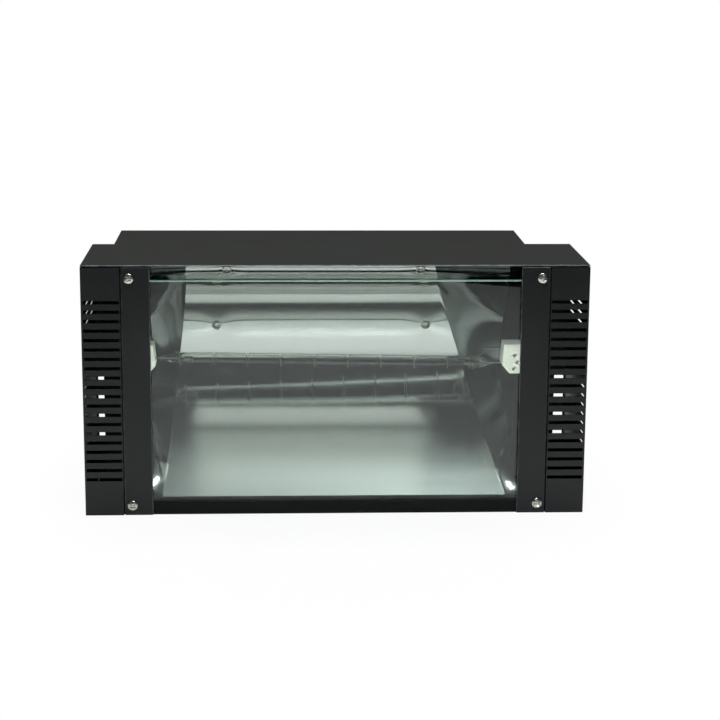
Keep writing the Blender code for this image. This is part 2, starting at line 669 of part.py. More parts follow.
def electrode(name, side, tungsten):
    """Lead pin through the tube's neck, with the thicker electrode inside."""
    half = TUBE_LENGTH / 2
    head = half - TUBE_TAPER - 0.004
    profile = [
        (head - ELECTRODE_LENGTH, 0.0),
        (head - ELECTRODE_LENGTH, ELECTRODE_RADIUS),
        (head, ELECTRODE_RADIUS),
        (head, LEAD_RADIUS),
        (SOCKET_INNER + SOCKET_BORE_DEPTH - FIT, LEAD_RADIUS),
        (SOCKET_INNER + SOCKET_BORE_DEPTH - FIT, 0.0),
    ]
    axis = (LAMP_X, FRONT + LAMP_DEPTH, LAMP_HEIGHT)
    place(f"electrode_{name}", leaned(turned(profile, axis, (side, 0, 0), 12)), tungsten, smooth=True)


def wire_plan():
    """Trigger wire laid flat: distance along the tube, and distance round it from the top."""
    girth = 2 * math.pi * (TUBE_RADIUS + FIT + WIRE_RADIUS)
    corner = WIRE_CORNER
    plan = [(WIRE_FIRST - 2.5 * corner, 0.0)]
    turned_girth = 0.0

    def bend_in(along, base):
        bend = arc((0, 0), corner, -math.pi / 2, 0.0, 4)
        return [(along - corner + x, base + corner + y) for x, y in bend]

    def bend_out(along, base):
        bend = arc((0, 0), corner, math.pi, math.pi / 2, 4)
        return [(along + corner + x, base - corner + y) for x, y in bend]

    turns = [(WIRE_FIRST + index * WIRE_PITCH, 1, WIRE_ADVANCE) for index in range(WIRE_LOOPS)]
    turns.append((WIRE_COIL_START, WIRE_COIL_TURNS, WIRE_COIL_PITCH))
    for along, count, advance in turns:
        start = bend_in(along, turned_girth)
        turned_girth += count * girth
        stop = bend_out(along + count * advance, turned_girth)
        shares = np.linspace(0.0, 1.0, LOOP_POINTS * count - 6)[1:-1]
        first, last = np.array(start[-1]), np.array(stop[0])
        plan += start + [tuple(first + (last - first) * share) for share in shares] + stop
    return plan


def trigger_wire(nichrome):
    """One unbroken wire: single loops along the tube, a close coil, and a lead up into the right socket."""
    reach = TUBE_RADIUS + FIT + WIRE_RADIUS
    plan = np.array(wire_plan())
    turn = plan[:, 1] / reach
    points = np.stack([plan[:, 0], -reach * np.sin(turn), reach * np.cos(turn)], axis=1)
    last = points[-1]
    entry = SOCKET_INNER + LAMP_X + SOCKET_BORE_DEPTH * 0.5
    rise = WIRE_LEAD_RISE - reach
    span = entry - last[0]
    shares = np.linspace(0.0, 1.0, 30)[1:]
    ease = np.clip((shares - 0.03) / 0.27, 0.0, 1.0)
    ease = ease * ease * (3 - 2 * ease)
    lead = np.stack([last[0] + span * shares, 0.0 * shares, last[2] + rise * ease], axis=1)
    points = np.concatenate([points, lead]) - (LAMP_X, 0.0, 0.0)
    steps = np.linalg.norm(np.diff(points, axis=0), axis=1)
    length = np.concatenate([[0.0], np.cumsum(steps)])
    apart = np.abs(length[:, None] - length[None, :]) > 4 * WIRE_CORNER
    distance = np.linalg.norm(points[:, None] - points[None, :], axis=2)
    gap = distance[apart].min() - 2 * WIRE_RADIUS
    print(f"trigger wire: length {length[-1] * 1000:.0f} mm, least gap to itself {gap * 1000:.2f} mm")
    curve = bpy.data.curves.new("trigger_wire", "CURVE")
    curve.dimensions = "3D"
    curve.bevel_depth = WIRE_RADIUS
    curve.bevel_resolution = 1
    curve.use_fill_caps = True
    spline = curve.splines.new("POLY")
    spline.points.add(len(points) - 1)
    flat = np.concatenate([points, np.ones((len(points), 1))], axis=1)
    spline.points.foreach_set("co", flat.astype(np.float32).ravel())
    curve.materials.append(nichrome)
    wire = bpy.data.objects.new("trigger_wire", curve)
    wire.location = (LAMP_X, FRONT + LAMP_DEPTH, LAMP_HEIGHT)
    wire.rotation_euler = (0.0, LAMP_LEAN, 0.0)
    bpy.context.scene.collection.objects.link(wire)


# Rear box

def rear_cover(steel):
    outline = [
        (REAR_LEFT, 0.0),
        (REAR_LEFT, REAR_TOP),
        (REAR_RIGHT, REAR_TOP),
        (REAR_RIGHT, 0.0),
        (REAR_RIGHT - SHEET, 0.0),
        (REAR_RIGHT - SHEET, REAR_TOP - SHEET),
        (REAR_LEFT + SHEET, REAR_TOP - SHEET),
        (REAR_LEFT + SHEET, 0.0),
    ]
    cover = place("rear_cover", prism(outline, FRONT + REAR_START, BACK, "Y"), steel)
    pivot = (0.0, FRONT + PIVOT_DEPTH, PIVOT_HEIGHT)
    bolt_holes = rod(pivot, (1, 0, 0), -REAR_WIDTH, REAR_WIDTH, BOLT_RADIUS + FIT)
    change(cover, "DIFFERENCE", bolt_holes, "pivot_holes")
    corners = (REAR_LEFT - SHEET, FRONT + REAR_START + 0.020), (REAR_RIGHT + SHEET, BACK - 0.022)
    change(cover, "DIFFERENCE", rows(*corners, 6, 0.010, SLOT_HEIGHT, 0.024), "side_slots")


def panel_point(spot, out=0.0):
    """A point on the rear panel's outer face, from a place measured from the rear box's centre line."""
    return (REAR_OFFSET + spot[0], BACK + out, spot[1])


def panel_block(spot, size, start, stop, shape=None):
    x, y, z = panel_point(spot)
    low = (x - size[0] / 2, y + start, z - size[1] / 2)
    return block(low, (x + size[0] / 2, y + stop, z + size[1] / 2), shape)


def grown(size, margin=FIT):
    return (size[0] + 2 * margin, size[1] + 2 * margin)


def dip_size():
    return (DIP_WAYS * DIP_PITCH + 0.0020, DIP_HEIGHT)


def rear_panel(steel):
    low = (REAR_INNER_LEFT, BACK - SHEET, FLOOR_TOP)
    high = (REAR_INNER_RIGHT, BACK, REAR_TOP - SHEET - FIT)
    panel = place("rear_panel", block(low, high), steel)
    through = (-2 * SHEET, SHEET)
    holes = panel_block(INLET_PLACE, grown(INLET_BODY), *through)
    panel_block(DIP_PLACE, grown(dip_size()), *through, holes)
    rod(panel_point(FUSE_PLACE), (0, 1, 0), *through, FUSE_RADIUS + FIT, 20, holes)
    for spot in DMX_PLACES.values():
        rod(panel_point(spot), (0, 1, 0), *through, DMX_RADIUS + FIT, 24, holes)
    for spot in CONTROL_PLACES.values():
        rod(panel_point(spot), (0, 1, 0), *through, BUSH_RADIUS + FIT, 16, holes)
    pitch = 2 * FAN_BORE / (GRILLE_SLOTS + 1)
    for index in range(GRILLE_SLOTS):
        height = (index + 1) * pitch - FAN_BORE
        wide = 2 * math.sqrt(FAN_BORE**2 - height**2) * 0.94
        spot = (FAN_PLACE[0], FAN_PLACE[1] + height)
        panel_block(spot, (wide, pitch * 0.55), *through, holes)
    change(panel, "DIFFERENCE", holes, "openings")


def power_inlet(black):
    flange = panel_block(INLET_PLACE, INLET_FLANGE, FIT, FIT + FLANGE_THICKNESS)
    inlet = place("power_inlet", flange, black)
    body = panel_block(INLET_PLACE, INLET_BODY, -INLET_DEPTH, FIT + FLANGE_THICKNESS / 2)
    change(inlet, "UNION", body, "body")
    cavity = grown(INLET_BODY, -0.0018)
    floor = -INLET_DEPTH + 0.004
    mouth = panel_block(INLET_PLACE, cavity, floor, FIT + 2 * FLANGE_THICKNESS)
    change(inlet, "DIFFERENCE", mouth, "cavity")
    pins = bmesh.new()
    for across, up in ((-0.007, -0.002), (0.0, 0.002), (0.007, -0.002)):
        spot = (INLET_PLACE[0] + across, INLET_PLACE[1] + up)
        panel_block(spot, (0.002, 0.004), floor - 0.002, floor + 0.012, pins)
    change(inlet, "UNION", pins, "pins")


def fuse_holder(black):
    """Panel fuse holder, closed with a slotted cap."""
    rim = FIT + 0.0018
    top = rim + 0.0055
    profile = [
        (-FUSE_LENGTH, 0.0),
        (-FUSE_LENGTH, FUSE_RADIUS),
        (FIT, FUSE_RADIUS),
        (FIT, FUSE_RADIUS + 0.0016),
        (rim, FUSE_RADIUS + 0.0016),
        (rim, FUSE_RADIUS),
        (top, FUSE_RADIUS * 0.94),
        (top, 0.0),
    ]
    body = turned(profile, panel_point(FUSE_PLACE), (0, 1, 0), 20)
    holder = place("fuse_holder", body, black, smooth=True)
    slot = panel_block(FUSE_PLACE, (0.0090, 0.0014), top - 0.0015, top + 0.0015)
    change(holder, "DIFFERENCE", slot, "coin_slot")


def dmx_socket(name, spot, black):
    """Three-pole round connector: pins in a cup for the input, holes in a face for the output."""
    point = panel_point(spot)
    body = place(name, panel_block(spot, DMX_FLANGE, FIT, FIT + FLANGE_THICKNESS), black)
    barrel = rod(point, (0, 1, 0), -DMX_DEPTH, FIT + FLANGE_THICKNESS / 2, DMX_RADIUS, 24)
    change(body, "UNION", barrel, "barrel")
    mouth = FIT + 2 * FLANGE_THICKNESS
    poles = [(0.0045 * math.cos(a), 0.0045 * math.sin(a)) for a in np.radians((30, 150, 270))]
    if name.endswith("input"):
        floor = -DMX_DEPTH + 0.006
        cup = rod(point, (0, 1, 0), floor, mouth, DMX_RADIUS - 0.0015, 24)
        change(body, "DIFFERENCE", cup, "cup")
        pins = bmesh.new()
        for across, up in poles:
            seat = (point[0] + across, point[1], point[2] + up)
            rod(seat, (0, 1, 0), floor - 0.002, floor + 0.012, 0.0012, 10, pins)
        change(body, "UNION", pins, "pins")
        return
    holes = bmesh.new()
    for across, up in poles:
        seat = (point[0] + across, point[1], point[2] + up)
        rod(seat, (0, 1, 0), -0.010, mouth, 0.0014, 10, holes)
    change(body, "DIFFERENCE", holes, "holes")


def dip_switch(red, white):
    """Switch block with one sliding lever in each slot."""
    block_size = dip_size()
    switch = place("dip_switch", panel_block(DIP_PLACE, block_size, -DIP_DEPTH, 0.0), red)
    slots = bmesh.new()
    slot_floor = -DIP_DEPTH * 0.5
    for way in range(DIP_WAYS):
        spot = (DIP_PLACE[0] + (way - (DIP_WAYS - 1) / 2) * DIP_PITCH, DIP_PLACE[1])
        panel_block(spot, DIP_SLOT, slot_floor, SHEET, slots)
        low_end = spot[1] - DIP_SLOT[1] / 2 + FIT + DIP_LEVER_HEIGHT / 2
        size = (DIP_SLOT[0] - 2 * FIT, DIP_LEVER_HEIGHT)
        lever = panel_block((spot[0], low_end), size, slot_floor + FIT, DIP_LEVER_PROUD)
        place(f"dip_lever_{way + 1:02d}", lever, white, panel_point((spot[0], low_end)))
    change(switch, "DIFFERENCE", slots, "slots")


def control(name, spot, steel, black):
    """Potentiometer behind the panel, and its knob with the shaft."""
    point = panel_point(spot)
    bore = SHAFT_RADIUS + FIT
    floor = -SHEET - FIT - POT_DEPTH
    shoulder = -SHEET - FIT
    pot = [
        (floor, 0.0),
        (floor, POT_RADIUS),
        (shoulder, POT_RADIUS),
        (shoulder, BUSH_RADIUS),
        (BUSH_LENGTH, BUSH_RADIUS),
        (BUSH_LENGTH, bore),
        (floor + 0.0020, bore),
        (floor + 0.0020, 0.0),
    ]
    place(f"{name}_pot", turned(pot, point, (0, 1, 0), 20), steel, smooth=True)
    skirt = 4 * FIT
    hollow = BUSH_RADIUS + 2 * FIT
    roof = BUSH_LENGTH + 2 * FIT
    top = skirt + CONTROL_KNOB_HEIGHT
    knob = [
        (floor + 0.0020 + FIT, 0.0),
        (floor + 0.0020 + FIT, SHAFT_RADIUS),
        (roof, SHAFT_RADIUS),
        (roof, hollow),
        (skirt, hollow),
        (skirt, CONTROL_KNOB_RADIUS),
        (skirt + 0.0025, CONTROL_KNOB_RADIUS),
        (skirt + 0.0035, CONTROL_KNOB_RADIUS * 0.86),
        (top - 0.0008, CONTROL_KNOB_RADIUS * 0.80),
        (top, CONTROL_KNOB_RADIUS * 0.70),
        (top, 0.0),
    ]
    cap = place(f"{name}_knob", turned(knob, point, (0, 1, 0), 28), black, point, smooth=True)
    middle = (spot[0], spot[1] + CONTROL_KNOB_RADIUS * 0.5)
    mark = panel_block(middle, (0.0012, CONTROL_KNOB_RADIUS), top - 0.001, top + 0.001)
    change(cap, "DIFFERENCE", mark, "pointer")


def fan(black):
    """Square fan frame with its stator struts, and the bladed rotor on a pin."""
    x, y, z = panel_point(FAN_PLACE)
    back = -SHEET - FIT
    front = back - FAN_DEPTH
    frame = place("fan_frame", panel_block(FAN_PLACE, (FAN_SIZE, FAN_SIZE), front, back), black)
    point = (x, y, z)
    change(frame, "DIFFERENCE", rod(point, (0, 1, 0), front - SHEET, back + SHEET, FAN_BORE, 32), "bore")
    strut = 0.003
    cross = panel_block(FAN_PLACE, (2 * FAN_BORE + 0.002, strut), back - 0.004, back - 0.001)
    change(frame, "UNION", cross, "flat_strut")
    cross = panel_block(FAN_PLACE, (strut, 2 * FAN_BORE + 0.002), back - 0.0041, back - 0.0009)
    change(frame, "UNION", cross, "upright_strut")
    change(frame, "UNION", rod(point, (0, 1, 0), back - 0.0045, back - 0.0005, FAN_HUB, 24), "stator")
    bearing = rod(point, (0, 1, 0), back - 0.010, back + SHEET, SHAFT_RADIUS + FIT, 16)
    change(frame, "DIFFERENCE", bearing, "bearing")
    rear = back - 0.0045 - FIT
    hub = [
        (front + 0.003, 0.0),
        (front + 0.003, FAN_HUB * 0.9),
        (front + 0.005, FAN_HUB),
        (rear, FAN_HUB),
        (rear, SHAFT_RADIUS),
        (back - 0.0008, SHAFT_RADIUS),
        (back - 0.0008, 0.0),
    ]
    rotor = place("fan_rotor", turned(hub, point, (0, 1, 0), 28), black, point, smooth=True)
    blades = bmesh.new()
    reach = FAN_BORE - 0.0012
    for index in range(FAN_BLADES):
        turn = Matrix.Rotation(index * 2 * math.pi / FAN_BLADES, 4, "Y")
        pitch = Matrix.Rotation(math.radians(38), 4, "Z")
        middle = Matrix.Translation((0.0, (front + rear) / 2 + 0.001, (FAN_HUB + reach) / 2 - 0.001))
        size = Matrix.Diagonal((0.0125, 0.0011, reach - FAN_HUB + 0.002, 1.0))
        place_in = Matrix.Translation(point) @ turn @ middle @ pitch @ size
        bmesh.ops.create_cube(blades, size=1.0, matrix=place_in)
    change(rotor, "UNION", blades, "blades")


def electronics(green, blue, amber):
    """Storage capacitor, driver board on its posts and the trigger coil, all standing on the base."""
    depth = FRONT + REAR_START + CAPACITOR_RADIUS + 0.006
    across = REAR_LEFT + 0.030 + CAPACITOR_RADIUS
    can = [
        (0.0, 0.0),
        (0.0, CAPACITOR_RADIUS),
        (CAPACITOR_HEIGHT - 0.001, CAPACITOR_RADIUS),
        (CAPACITOR_HEIGHT, CAPACITOR_RADIUS - 0.001),
        (CAPACITOR_HEIGHT, 0.0),
    ]
    shape = turned(can, (across, depth, FLOOR_TOP), (0, 0, 1), 24)
    place("storage_capacitor", shape, blue, smooth=True)
    left = REAR_OFFSET - BOARD_SIZE[0] / 2
    front = FRONT + REAR_START + 0.006
    under = FLOOR_TOP + BOARD_STANDOFF
    far = (left + BOARD_SIZE[0], front + BOARD_SIZE[1], under + BOARD_THICKNESS)
    plate = block((left, front, under), far)
    board = place("control_board", plate, green)
    posts = bmesh.new()
    for across in (0.005, BOARD_SIZE[0] - 0.005):
        for along in (0.005, BOARD_SIZE[1] - 0.005):
            foot = (left + across, front + along, FLOOR_TOP)
            rod(foot, (0, 0, 1), 0.0, BOARD_STANDOFF + BOARD_THICKNESS / 2, 0.003, 10, posts)
    change(board, "UNION", posts, "posts")
    corner = Vector((REAR_RIGHT - 0.020 - COIL_SIZE[0], front, FLOOR_TOP))
    coil = block(corner, corner + Vector(COIL_SIZE))
    bmesh.ops.bevel(coil, geom=coil.edges, offset=0.002, segments=1, affect="EDGES")
    place("trigger_transformer", coil, amber)


# Yoke and clamp knobs

def pivot_point(x=0.0):
    return (x, FRONT + PIVOT_DEPTH, PIVOT_HEIGHT)


def yoke_faces():
    """Inner faces of the two arms, just clear of the rear box."""
    return REAR_LEFT - YOKE_STAND, REAR_RIGHT + YOKE_STAND


def yoke(steel):
    """Flat bar bent to a U, parked straight back, with round arm ends and hanging holes in the crossbar."""
    left, right = yoke_faces()
    start = FRONT + PIVOT_DEPTH - YOKE_WIDTH / 2
    inner = FRONT + PIVOT_DEPTH + YOKE_REACH
    bend = YOKE_BEND
    big = bend + YOKE_BAR
    right_in = arc((right - bend, inner - bend), bend, 0.0, math.pi / 2, 5)
    left_in = arc((left + bend, inner - bend), bend, math.pi / 2, math.pi, 5)
    left_out = arc((left + bend, inner - bend), big, math.pi, math.pi / 2, 5)
    right_out = arc((right - bend, inner - bend), big, math.pi / 2, 0.0, 5)
    outline = [(right, start), *right_in, *left_in, (left, start), (left - YOKE_BAR, start)]
    outline += [*left_out, *right_out, (right + YOKE_BAR, start)]
    low = PIVOT_HEIGHT - YOKE_WIDTH / 2
    shape = prism(outline, low, low + YOKE_WIDTH, "Z")
    tips = [edge for edge in shape.edges if all(abs(v.co.y - start) < 1e-6 for v in edge.verts)]
    ends = [edge for edge in tips if abs(edge.verts[0].co.x - edge.verts[1].co.x) > 1e-4]
    bmesh.ops.bevel(shape, geom=ends, offset=YOKE_WIDTH * 0.46, segments=6, affect="EDGES", profile=0.5)
    bar = place("yoke", shape, steel, pivot_point(REAR_OFFSET))
    holes = rod(pivot_point(), (1, 0, 0), -FRAME_WIDTH, FRAME_WIDTH, BOLT_RADIUS + 2 * FIT)
    change(bar, "DIFFERENCE", holes, "pivot_holes")
    hang = bmesh.new()
    spots = [(0.0, HANG_HOLE_RADIUS)]
    spots += [(side * SIDE_HOLE_SPACING / 2, SIDE_HOLE_RADIUS) for side in (-1, 1)]
    for across, radius in spots:
        point = (REAR_OFFSET + across, inner, PIVOT_HEIGHT)
        rod(point, (0, 1, 0), -YOKE_BAR, 2 * YOKE_BAR, radius, 20, hang)
    change(bar, "DIFFERENCE", hang, "hanging_holes")


def clamp(name, side, black):
    """Lobed clamp knob on its bolt, which passes the yoke's arm into the case."""
    case = REAR_RIGHT if side > 0 else REAR_LEFT
    arm = yoke_faces()[side > 0] + side * (YOKE_BAR + FIT)
    outline = []
    for turn in np.linspace(0.0, 2 * math.pi, 8 * KNOB_LOBES, endpoint=False):
        radius = KNOB_RADIUS * (0.92 + 0.08 * math.cos(KNOB_LOBES * turn))
        depth = FRONT + PIVOT_DEPTH + radius * math.cos(turn)
        outline.append((depth, PIVOT_HEIGHT + radius * math.sin(turn)))
    start, stop = sorted((arm, arm + side * KNOB_HEIGHT))
    knob = place(f"clamp_knob_{name}", prism(outline, start, stop, "X"), black, pivot_point(arm))
    bolt = rod(pivot_point(arm), (side, 0, 0), side * (case - arm) - 0.010, KNOB_HEIGHT / 2, BOLT_RADIUS)
    change(knob, "UNION", bolt, "bolt")


def build():
    clear_scene()
    steel = finish("black_powder_coat", (0.012, 0.012, 0.013), 0.45)
    nickel = finish("nickel_screw", (0.55, 0.54, 0.50), 0.25, 1.0)
    glass = finish("front_glass", (0.80, 0.90, 0.86), 0.03)
    silicone = finish("silicone", (0.03, 0.03, 0.03), 0.7)
    mirror = finish("polished_aluminium", (0.86, 0.87, 0.85), 0.06, 1.0)
    ceramic = finish("steatite", (0.82, 0.84, 0.78), 0.45)
    quartz = finish("quartz_glass", (0.85, 0.90, 0.88), 0.02)
    tungsten = finish("tungsten", (0.45, 0.44, 0.42), 0.35, 1.0)
    nichrome = finish("trigger_wire", (0.62, 0.60, 0.54), 0.3, 1.0)
    black = finish("black_plastic", (0.015, 0.015, 0.016), 0.5)
    red = finish("switch_red", (0.35, 0.02, 0.02), 0.4)
    white = finish("lever_white", (0.80, 0.80, 0.78), 0.4)
    zinc = finish("zinc_case", (0.50, 0.50, 0.50), 0.35, 1.0)
    green = finish("board_green", (0.02, 0.14, 0.06), 0.5)
    blue = finish("capacitor_sleeve", (0.02, 0.04, 0.14), 0.4)
    amber = finish("coil_resin", (0.30, 0.14, 0.03), 0.5)
    base_plate(steel)
    top_cover(steel)
    bulkhead(steel)
    window(glass, silicone)
    reflector(mirror, nickel)
    reflector_carriers(steel)
    for name, side in SIDES.items():
        vent_panel(name, side, steel)
        chamber_wall(name, side, steel)
        glass_strip(name, side, steel, nickel)
        socket(name, side, ceramic, steel)
        electrode(name, side, tungsten)
        clamp(name, side, black)
    flash_tube(quartz)
    trigger_wire(nichrome)
    rear_cover(steel)
    rear_panel(steel)
    power_inlet(black)
    fuse_holder(black)
    for name, spot in DMX_PLACES.items():
        dmx_socket(name, spot, black)
    dip_switch(red, white)
    for name, spot in CONTROL_PLACES.items():
        control(name, spot, zinc, black)
    fan(black)
    electronics(green, blue, amber)
    yoke(steel)


build()
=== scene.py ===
"""Stage strobe light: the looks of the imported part, in its own frame. Metres, +Z up, the glass at -Y."""

import json
import math

import bmesh
import bpy
import numpy as np
from mathutils import Matrix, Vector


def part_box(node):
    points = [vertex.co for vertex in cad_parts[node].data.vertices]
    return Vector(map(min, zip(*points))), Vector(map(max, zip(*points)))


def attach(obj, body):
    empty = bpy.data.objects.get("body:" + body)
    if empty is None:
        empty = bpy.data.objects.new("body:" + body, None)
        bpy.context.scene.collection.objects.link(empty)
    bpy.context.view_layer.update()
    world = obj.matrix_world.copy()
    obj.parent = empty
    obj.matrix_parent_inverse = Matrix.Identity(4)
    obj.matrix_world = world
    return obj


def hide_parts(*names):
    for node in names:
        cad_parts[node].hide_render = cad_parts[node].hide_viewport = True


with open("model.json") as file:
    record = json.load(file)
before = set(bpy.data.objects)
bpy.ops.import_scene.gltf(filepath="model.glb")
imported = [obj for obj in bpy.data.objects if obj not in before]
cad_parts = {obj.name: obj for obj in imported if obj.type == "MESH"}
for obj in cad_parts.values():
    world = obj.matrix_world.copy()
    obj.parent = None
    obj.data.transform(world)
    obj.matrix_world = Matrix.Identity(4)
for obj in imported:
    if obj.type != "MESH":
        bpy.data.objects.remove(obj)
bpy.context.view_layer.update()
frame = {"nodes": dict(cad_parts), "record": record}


# Sheet steel case: base plate, walls, bulkhead, covers and brackets, 1.2 mm steel, cut, folded and screwed.
# It is powder coated satin black all over, which rounds the folds and leaves a fine orange peel.

def linear(colour):
    """An sRGB hex colour as linear red, green, blue and alpha."""
    parts = np.array([int(colour[i : i + 2], 16) for i in (1, 3, 5)]) / 255
    parts = np.where(parts <= 0.04045, parts / 12.92, ((parts + 0.055) / 1.055) ** 2.4)
    return (*parts.tolist(), 1.0)


def add(tree, kind, inputs=(), stops=(), **settings):
    """Adds one node with its settings and colour stops; each input is set, or linked to the socket given."""
    made = tree.nodes.new(kind)
    for name, value in settings.items():
        setattr(made, name, value)
    for index, (place, colour) in enumerate(stops):
        made.color_ramp.elements[index].position = place
        made.color_ramp.elements[index].color = linear(colour)
    for name, value in dict(inputs).items():
        if isinstance(value, bpy.types.NodeSocket):
            tree.links.new(value, made.inputs[name])
        else:
            made.inputs[name].default_value = value
    return made


def surface(name):
    """A new material: its node tree, its main shader, and the piece's own coordinates in metres."""
    material = bpy.data.materials.new(name)
    material.use_nodes = True
    tree = material.node_tree
    shader = tree.nodes["Principled BSDF"]
    return material, tree, shader, add(tree, "ShaderNodeTexCoord").outputs["Object"]


MERGE_WITHIN = 1e-5
FLAT_ANGLE = math.radians(0.5)
SHARP_DEGREES = 35.0


def smooth(body, angle):
    """Smooths the faces, and leaves an edge sharp where it is free or its faces meet at the angle or more."""
    for face in body.faces:
        face.smooth = True
    for edge in body.edges:
        edge.smooth = len(edge.link_faces) == 2 and edge.calc_face_angle(0.0) < math.radians(angle)


def eased(node, radius=0.0, angle=SHARP_DEGREES, worn_and_highlit=False):
    """A copy of a CAD node, its triangles merged and its folds rounded by a radius, which stands for it."""
    source = frame["nodes"][node]
    mesh = source.data.copy()
    body = bmesh.new()
    body.from_mesh(mesh)
    bmesh.ops.remove_doubles(body, verts=body.verts, dist=MERGE_WITHIN)
    bmesh.ops.dissolve_limit(body, angle_limit=FLAT_ANGLE, verts=body.verts, edges=body.edges)
    smooth(body, angle)
    body.to_mesh(mesh)
    body.free()
    piece = bpy.data.objects.new(f"{node}_eased", mesh)
    bpy.context.scene.collection.objects.link(piece)
    if radius:
        edge = piece.modifiers.new("folds", "BEVEL")
        edge.width = radius
        edge.segments = 2
        edge.limit_method = "ANGLE"
        edge.angle_limit = math.radians(angle)
        # Rounded folds take the second material, whose paler colour is partly wear and partly painted
        # highlight.
        edge.material = 1 if worn_and_highlit else -1
        weigh = piece.modifiers.new("faces", "WEIGHTED_NORMAL")
        weigh.keep_sharp = True
    mesh.materials.clear()
    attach(piece, next(body for body, names in bodies.items() if node in names))
    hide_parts(node)
    return piece


def coat(pieces, material):
    """Gives pieces a finish."""
    for piece in pieces:
        piece.data.materials.append(material)


bodies = frame["record"]["behaviour"]["bodies"]

# Powder coat: baked polyester, satin. Its peel is about 0.5 mm wide and is drawn at 1.3 mm to show at all.
powder_coat, tree, shader, place = surface("powder_coat_satin_black")
peel = add(tree, "ShaderNodeTexNoise", {"Vector": place, "Scale": 1 / 0.0013, "Detail": 2.0})
cloud = add(tree, "ShaderNodeTexNoise", {"Vector": place, "Scale": 1 / 0.045, "Detail": 3.0})
bump = add(tree, "ShaderNodeBump", {"Height": peel.outputs["Fac"], "Strength": 0.14, "Distance": 0.0002})
gloss = add(tree, "ShaderNodeMapRange", {"Value": cloud.outputs["Fac"], "To Min": 0.30, "To Max": 0.38})
shades = ((0.3, "#17181a"), (0.7, "#1c1d1f"))
tint = add(tree, "ShaderNodeValToRGB", {"Fac": cloud.outputs["Fac"]}, stops=shades)
tree.links.new(tint.outputs["Color"], shader.inputs["Base Color"])
tree.links.new(gloss.outputs["Result"], shader.inputs["Roughness"])
tree.links.new(bump.outputs["Normal"], shader.inputs["Normal"])
shader.inputs["IOR"].default_value = 1.48

# On folds and cut edges the coat is thinner and rubbed, so it shines more; its paler colour there is partly
# wear and partly a painted highlight along each edge.
worn_and_highlit_coat, tree, shader, place = surface("powder_coat_worn_edge_painted_highlight")
wear_and_highlight_mottle = add(tree, "ShaderNodeTexNoise", {"Vector": place, "Scale": 1 / 0.006, "Detail": 3.0})
shades = ((0.35, "#3a3b3c"), (0.75, "#787a7b"))
tint = add(tree, "ShaderNodeValToRGB", {"Fac": wear_and_highlight_mottle.outputs["Fac"]}, stops=shades)
tree.links.new(tint.outputs["Color"], shader.inputs["Base Color"])
shader.inputs["Roughness"].default_value = 0.34

case_sheets = [eased(node, 0.0006, worn_and_highlit=True) for node in ("top_cover", "rear_cover", "rear_panel")]
for node in ("chamber_wall", "socket_bracket"):
    case_sheets += [eased(f"{node}_{side}", 0.0003) for side in ("left", "right")]
case_sheets += [eased(node, 0.0003) for node in ("bulkhead", "reflector_bracket", "reflector_hanger")]
coat(case_sheets, powder_coat)
coat(case_sheets, worn_and_highlit_coat)

# The base and its lip: the same coat, darker and duller.
deep_coat, tree, shader, place = surface("powder_coat_darker_duller")
peel = add(tree, "ShaderNodeTexNoise", {"Vector": place, "Scale": 1 / 0.0013, "Detail": 2.0})
shades = ((0.3, "#050606"), (0.7, "#090a0a"))
tint = add(tree, "ShaderNodeValToRGB", {"Fac": peel.outputs["Fac"]}, stops=shades)
tree.links.new(tint.outputs["Color"], shader.inputs["Base Color"])
shader.inputs["Roughness"].default_value = 0.62
shader.inputs["Specular IOR Level"].default_value = 0.28
base = eased("base_plate", 0.0004)
coat([base], deep_coat)


# Reflector: 0.8 mm bright-rolled aluminium mirror sheet, bent to an arc of 78 mm radius with a straight roof
# and floor, a brow turned up at the roof's front edge, and a wing folded in at each end. Four screws pull it
# onto its bar and hanger, so it dents there.

FRONT = -0.110
MIRROR_AXIS = (0.028, 0.122)
MIRROR_RADIUS = 0.078
MIRROR_SHEET = 0.0008
ROOF_EDGE = (0.014, 0.211)
FLOOR_EDGE = (0.0105, 0.0135)
ROOF_TILT = math.radians(68.909)
FLOOR_TILT = math.radians(54.375)
BROW_DEPTH = 0.0158
BROW_RADIUS = 0.008
BROW_ROWS = 24
MIRROR_ROWS = 190
MIRROR_COLUMNS = 120
MIRROR_SCREWS = ((-0.10425, 0.1465), (0.08375, 0.1465), (-0.09275, 0.2113), (0.07225, 0.2113))
MIRROR_MIDDLE = -0.0119
MIRROR_DRIFT = 0.1026
MIRROR_HALF_WIDTH = 0.1255
MIRROR_SPLAY = 0.2147
WING_STEPS = 12
WING_MIDDLE = -0.006
WING_HALF_WIDTH = 0.1545
WING_FLARE = 0.011
WING_LIFT = 0.030
WING_FULL_DEPTH = 0.060
SCREW_DENT = 0.00095
DENT_REACH = 0.0105
SWAY = 0.00005
ROLL_MARKS = 0.000004


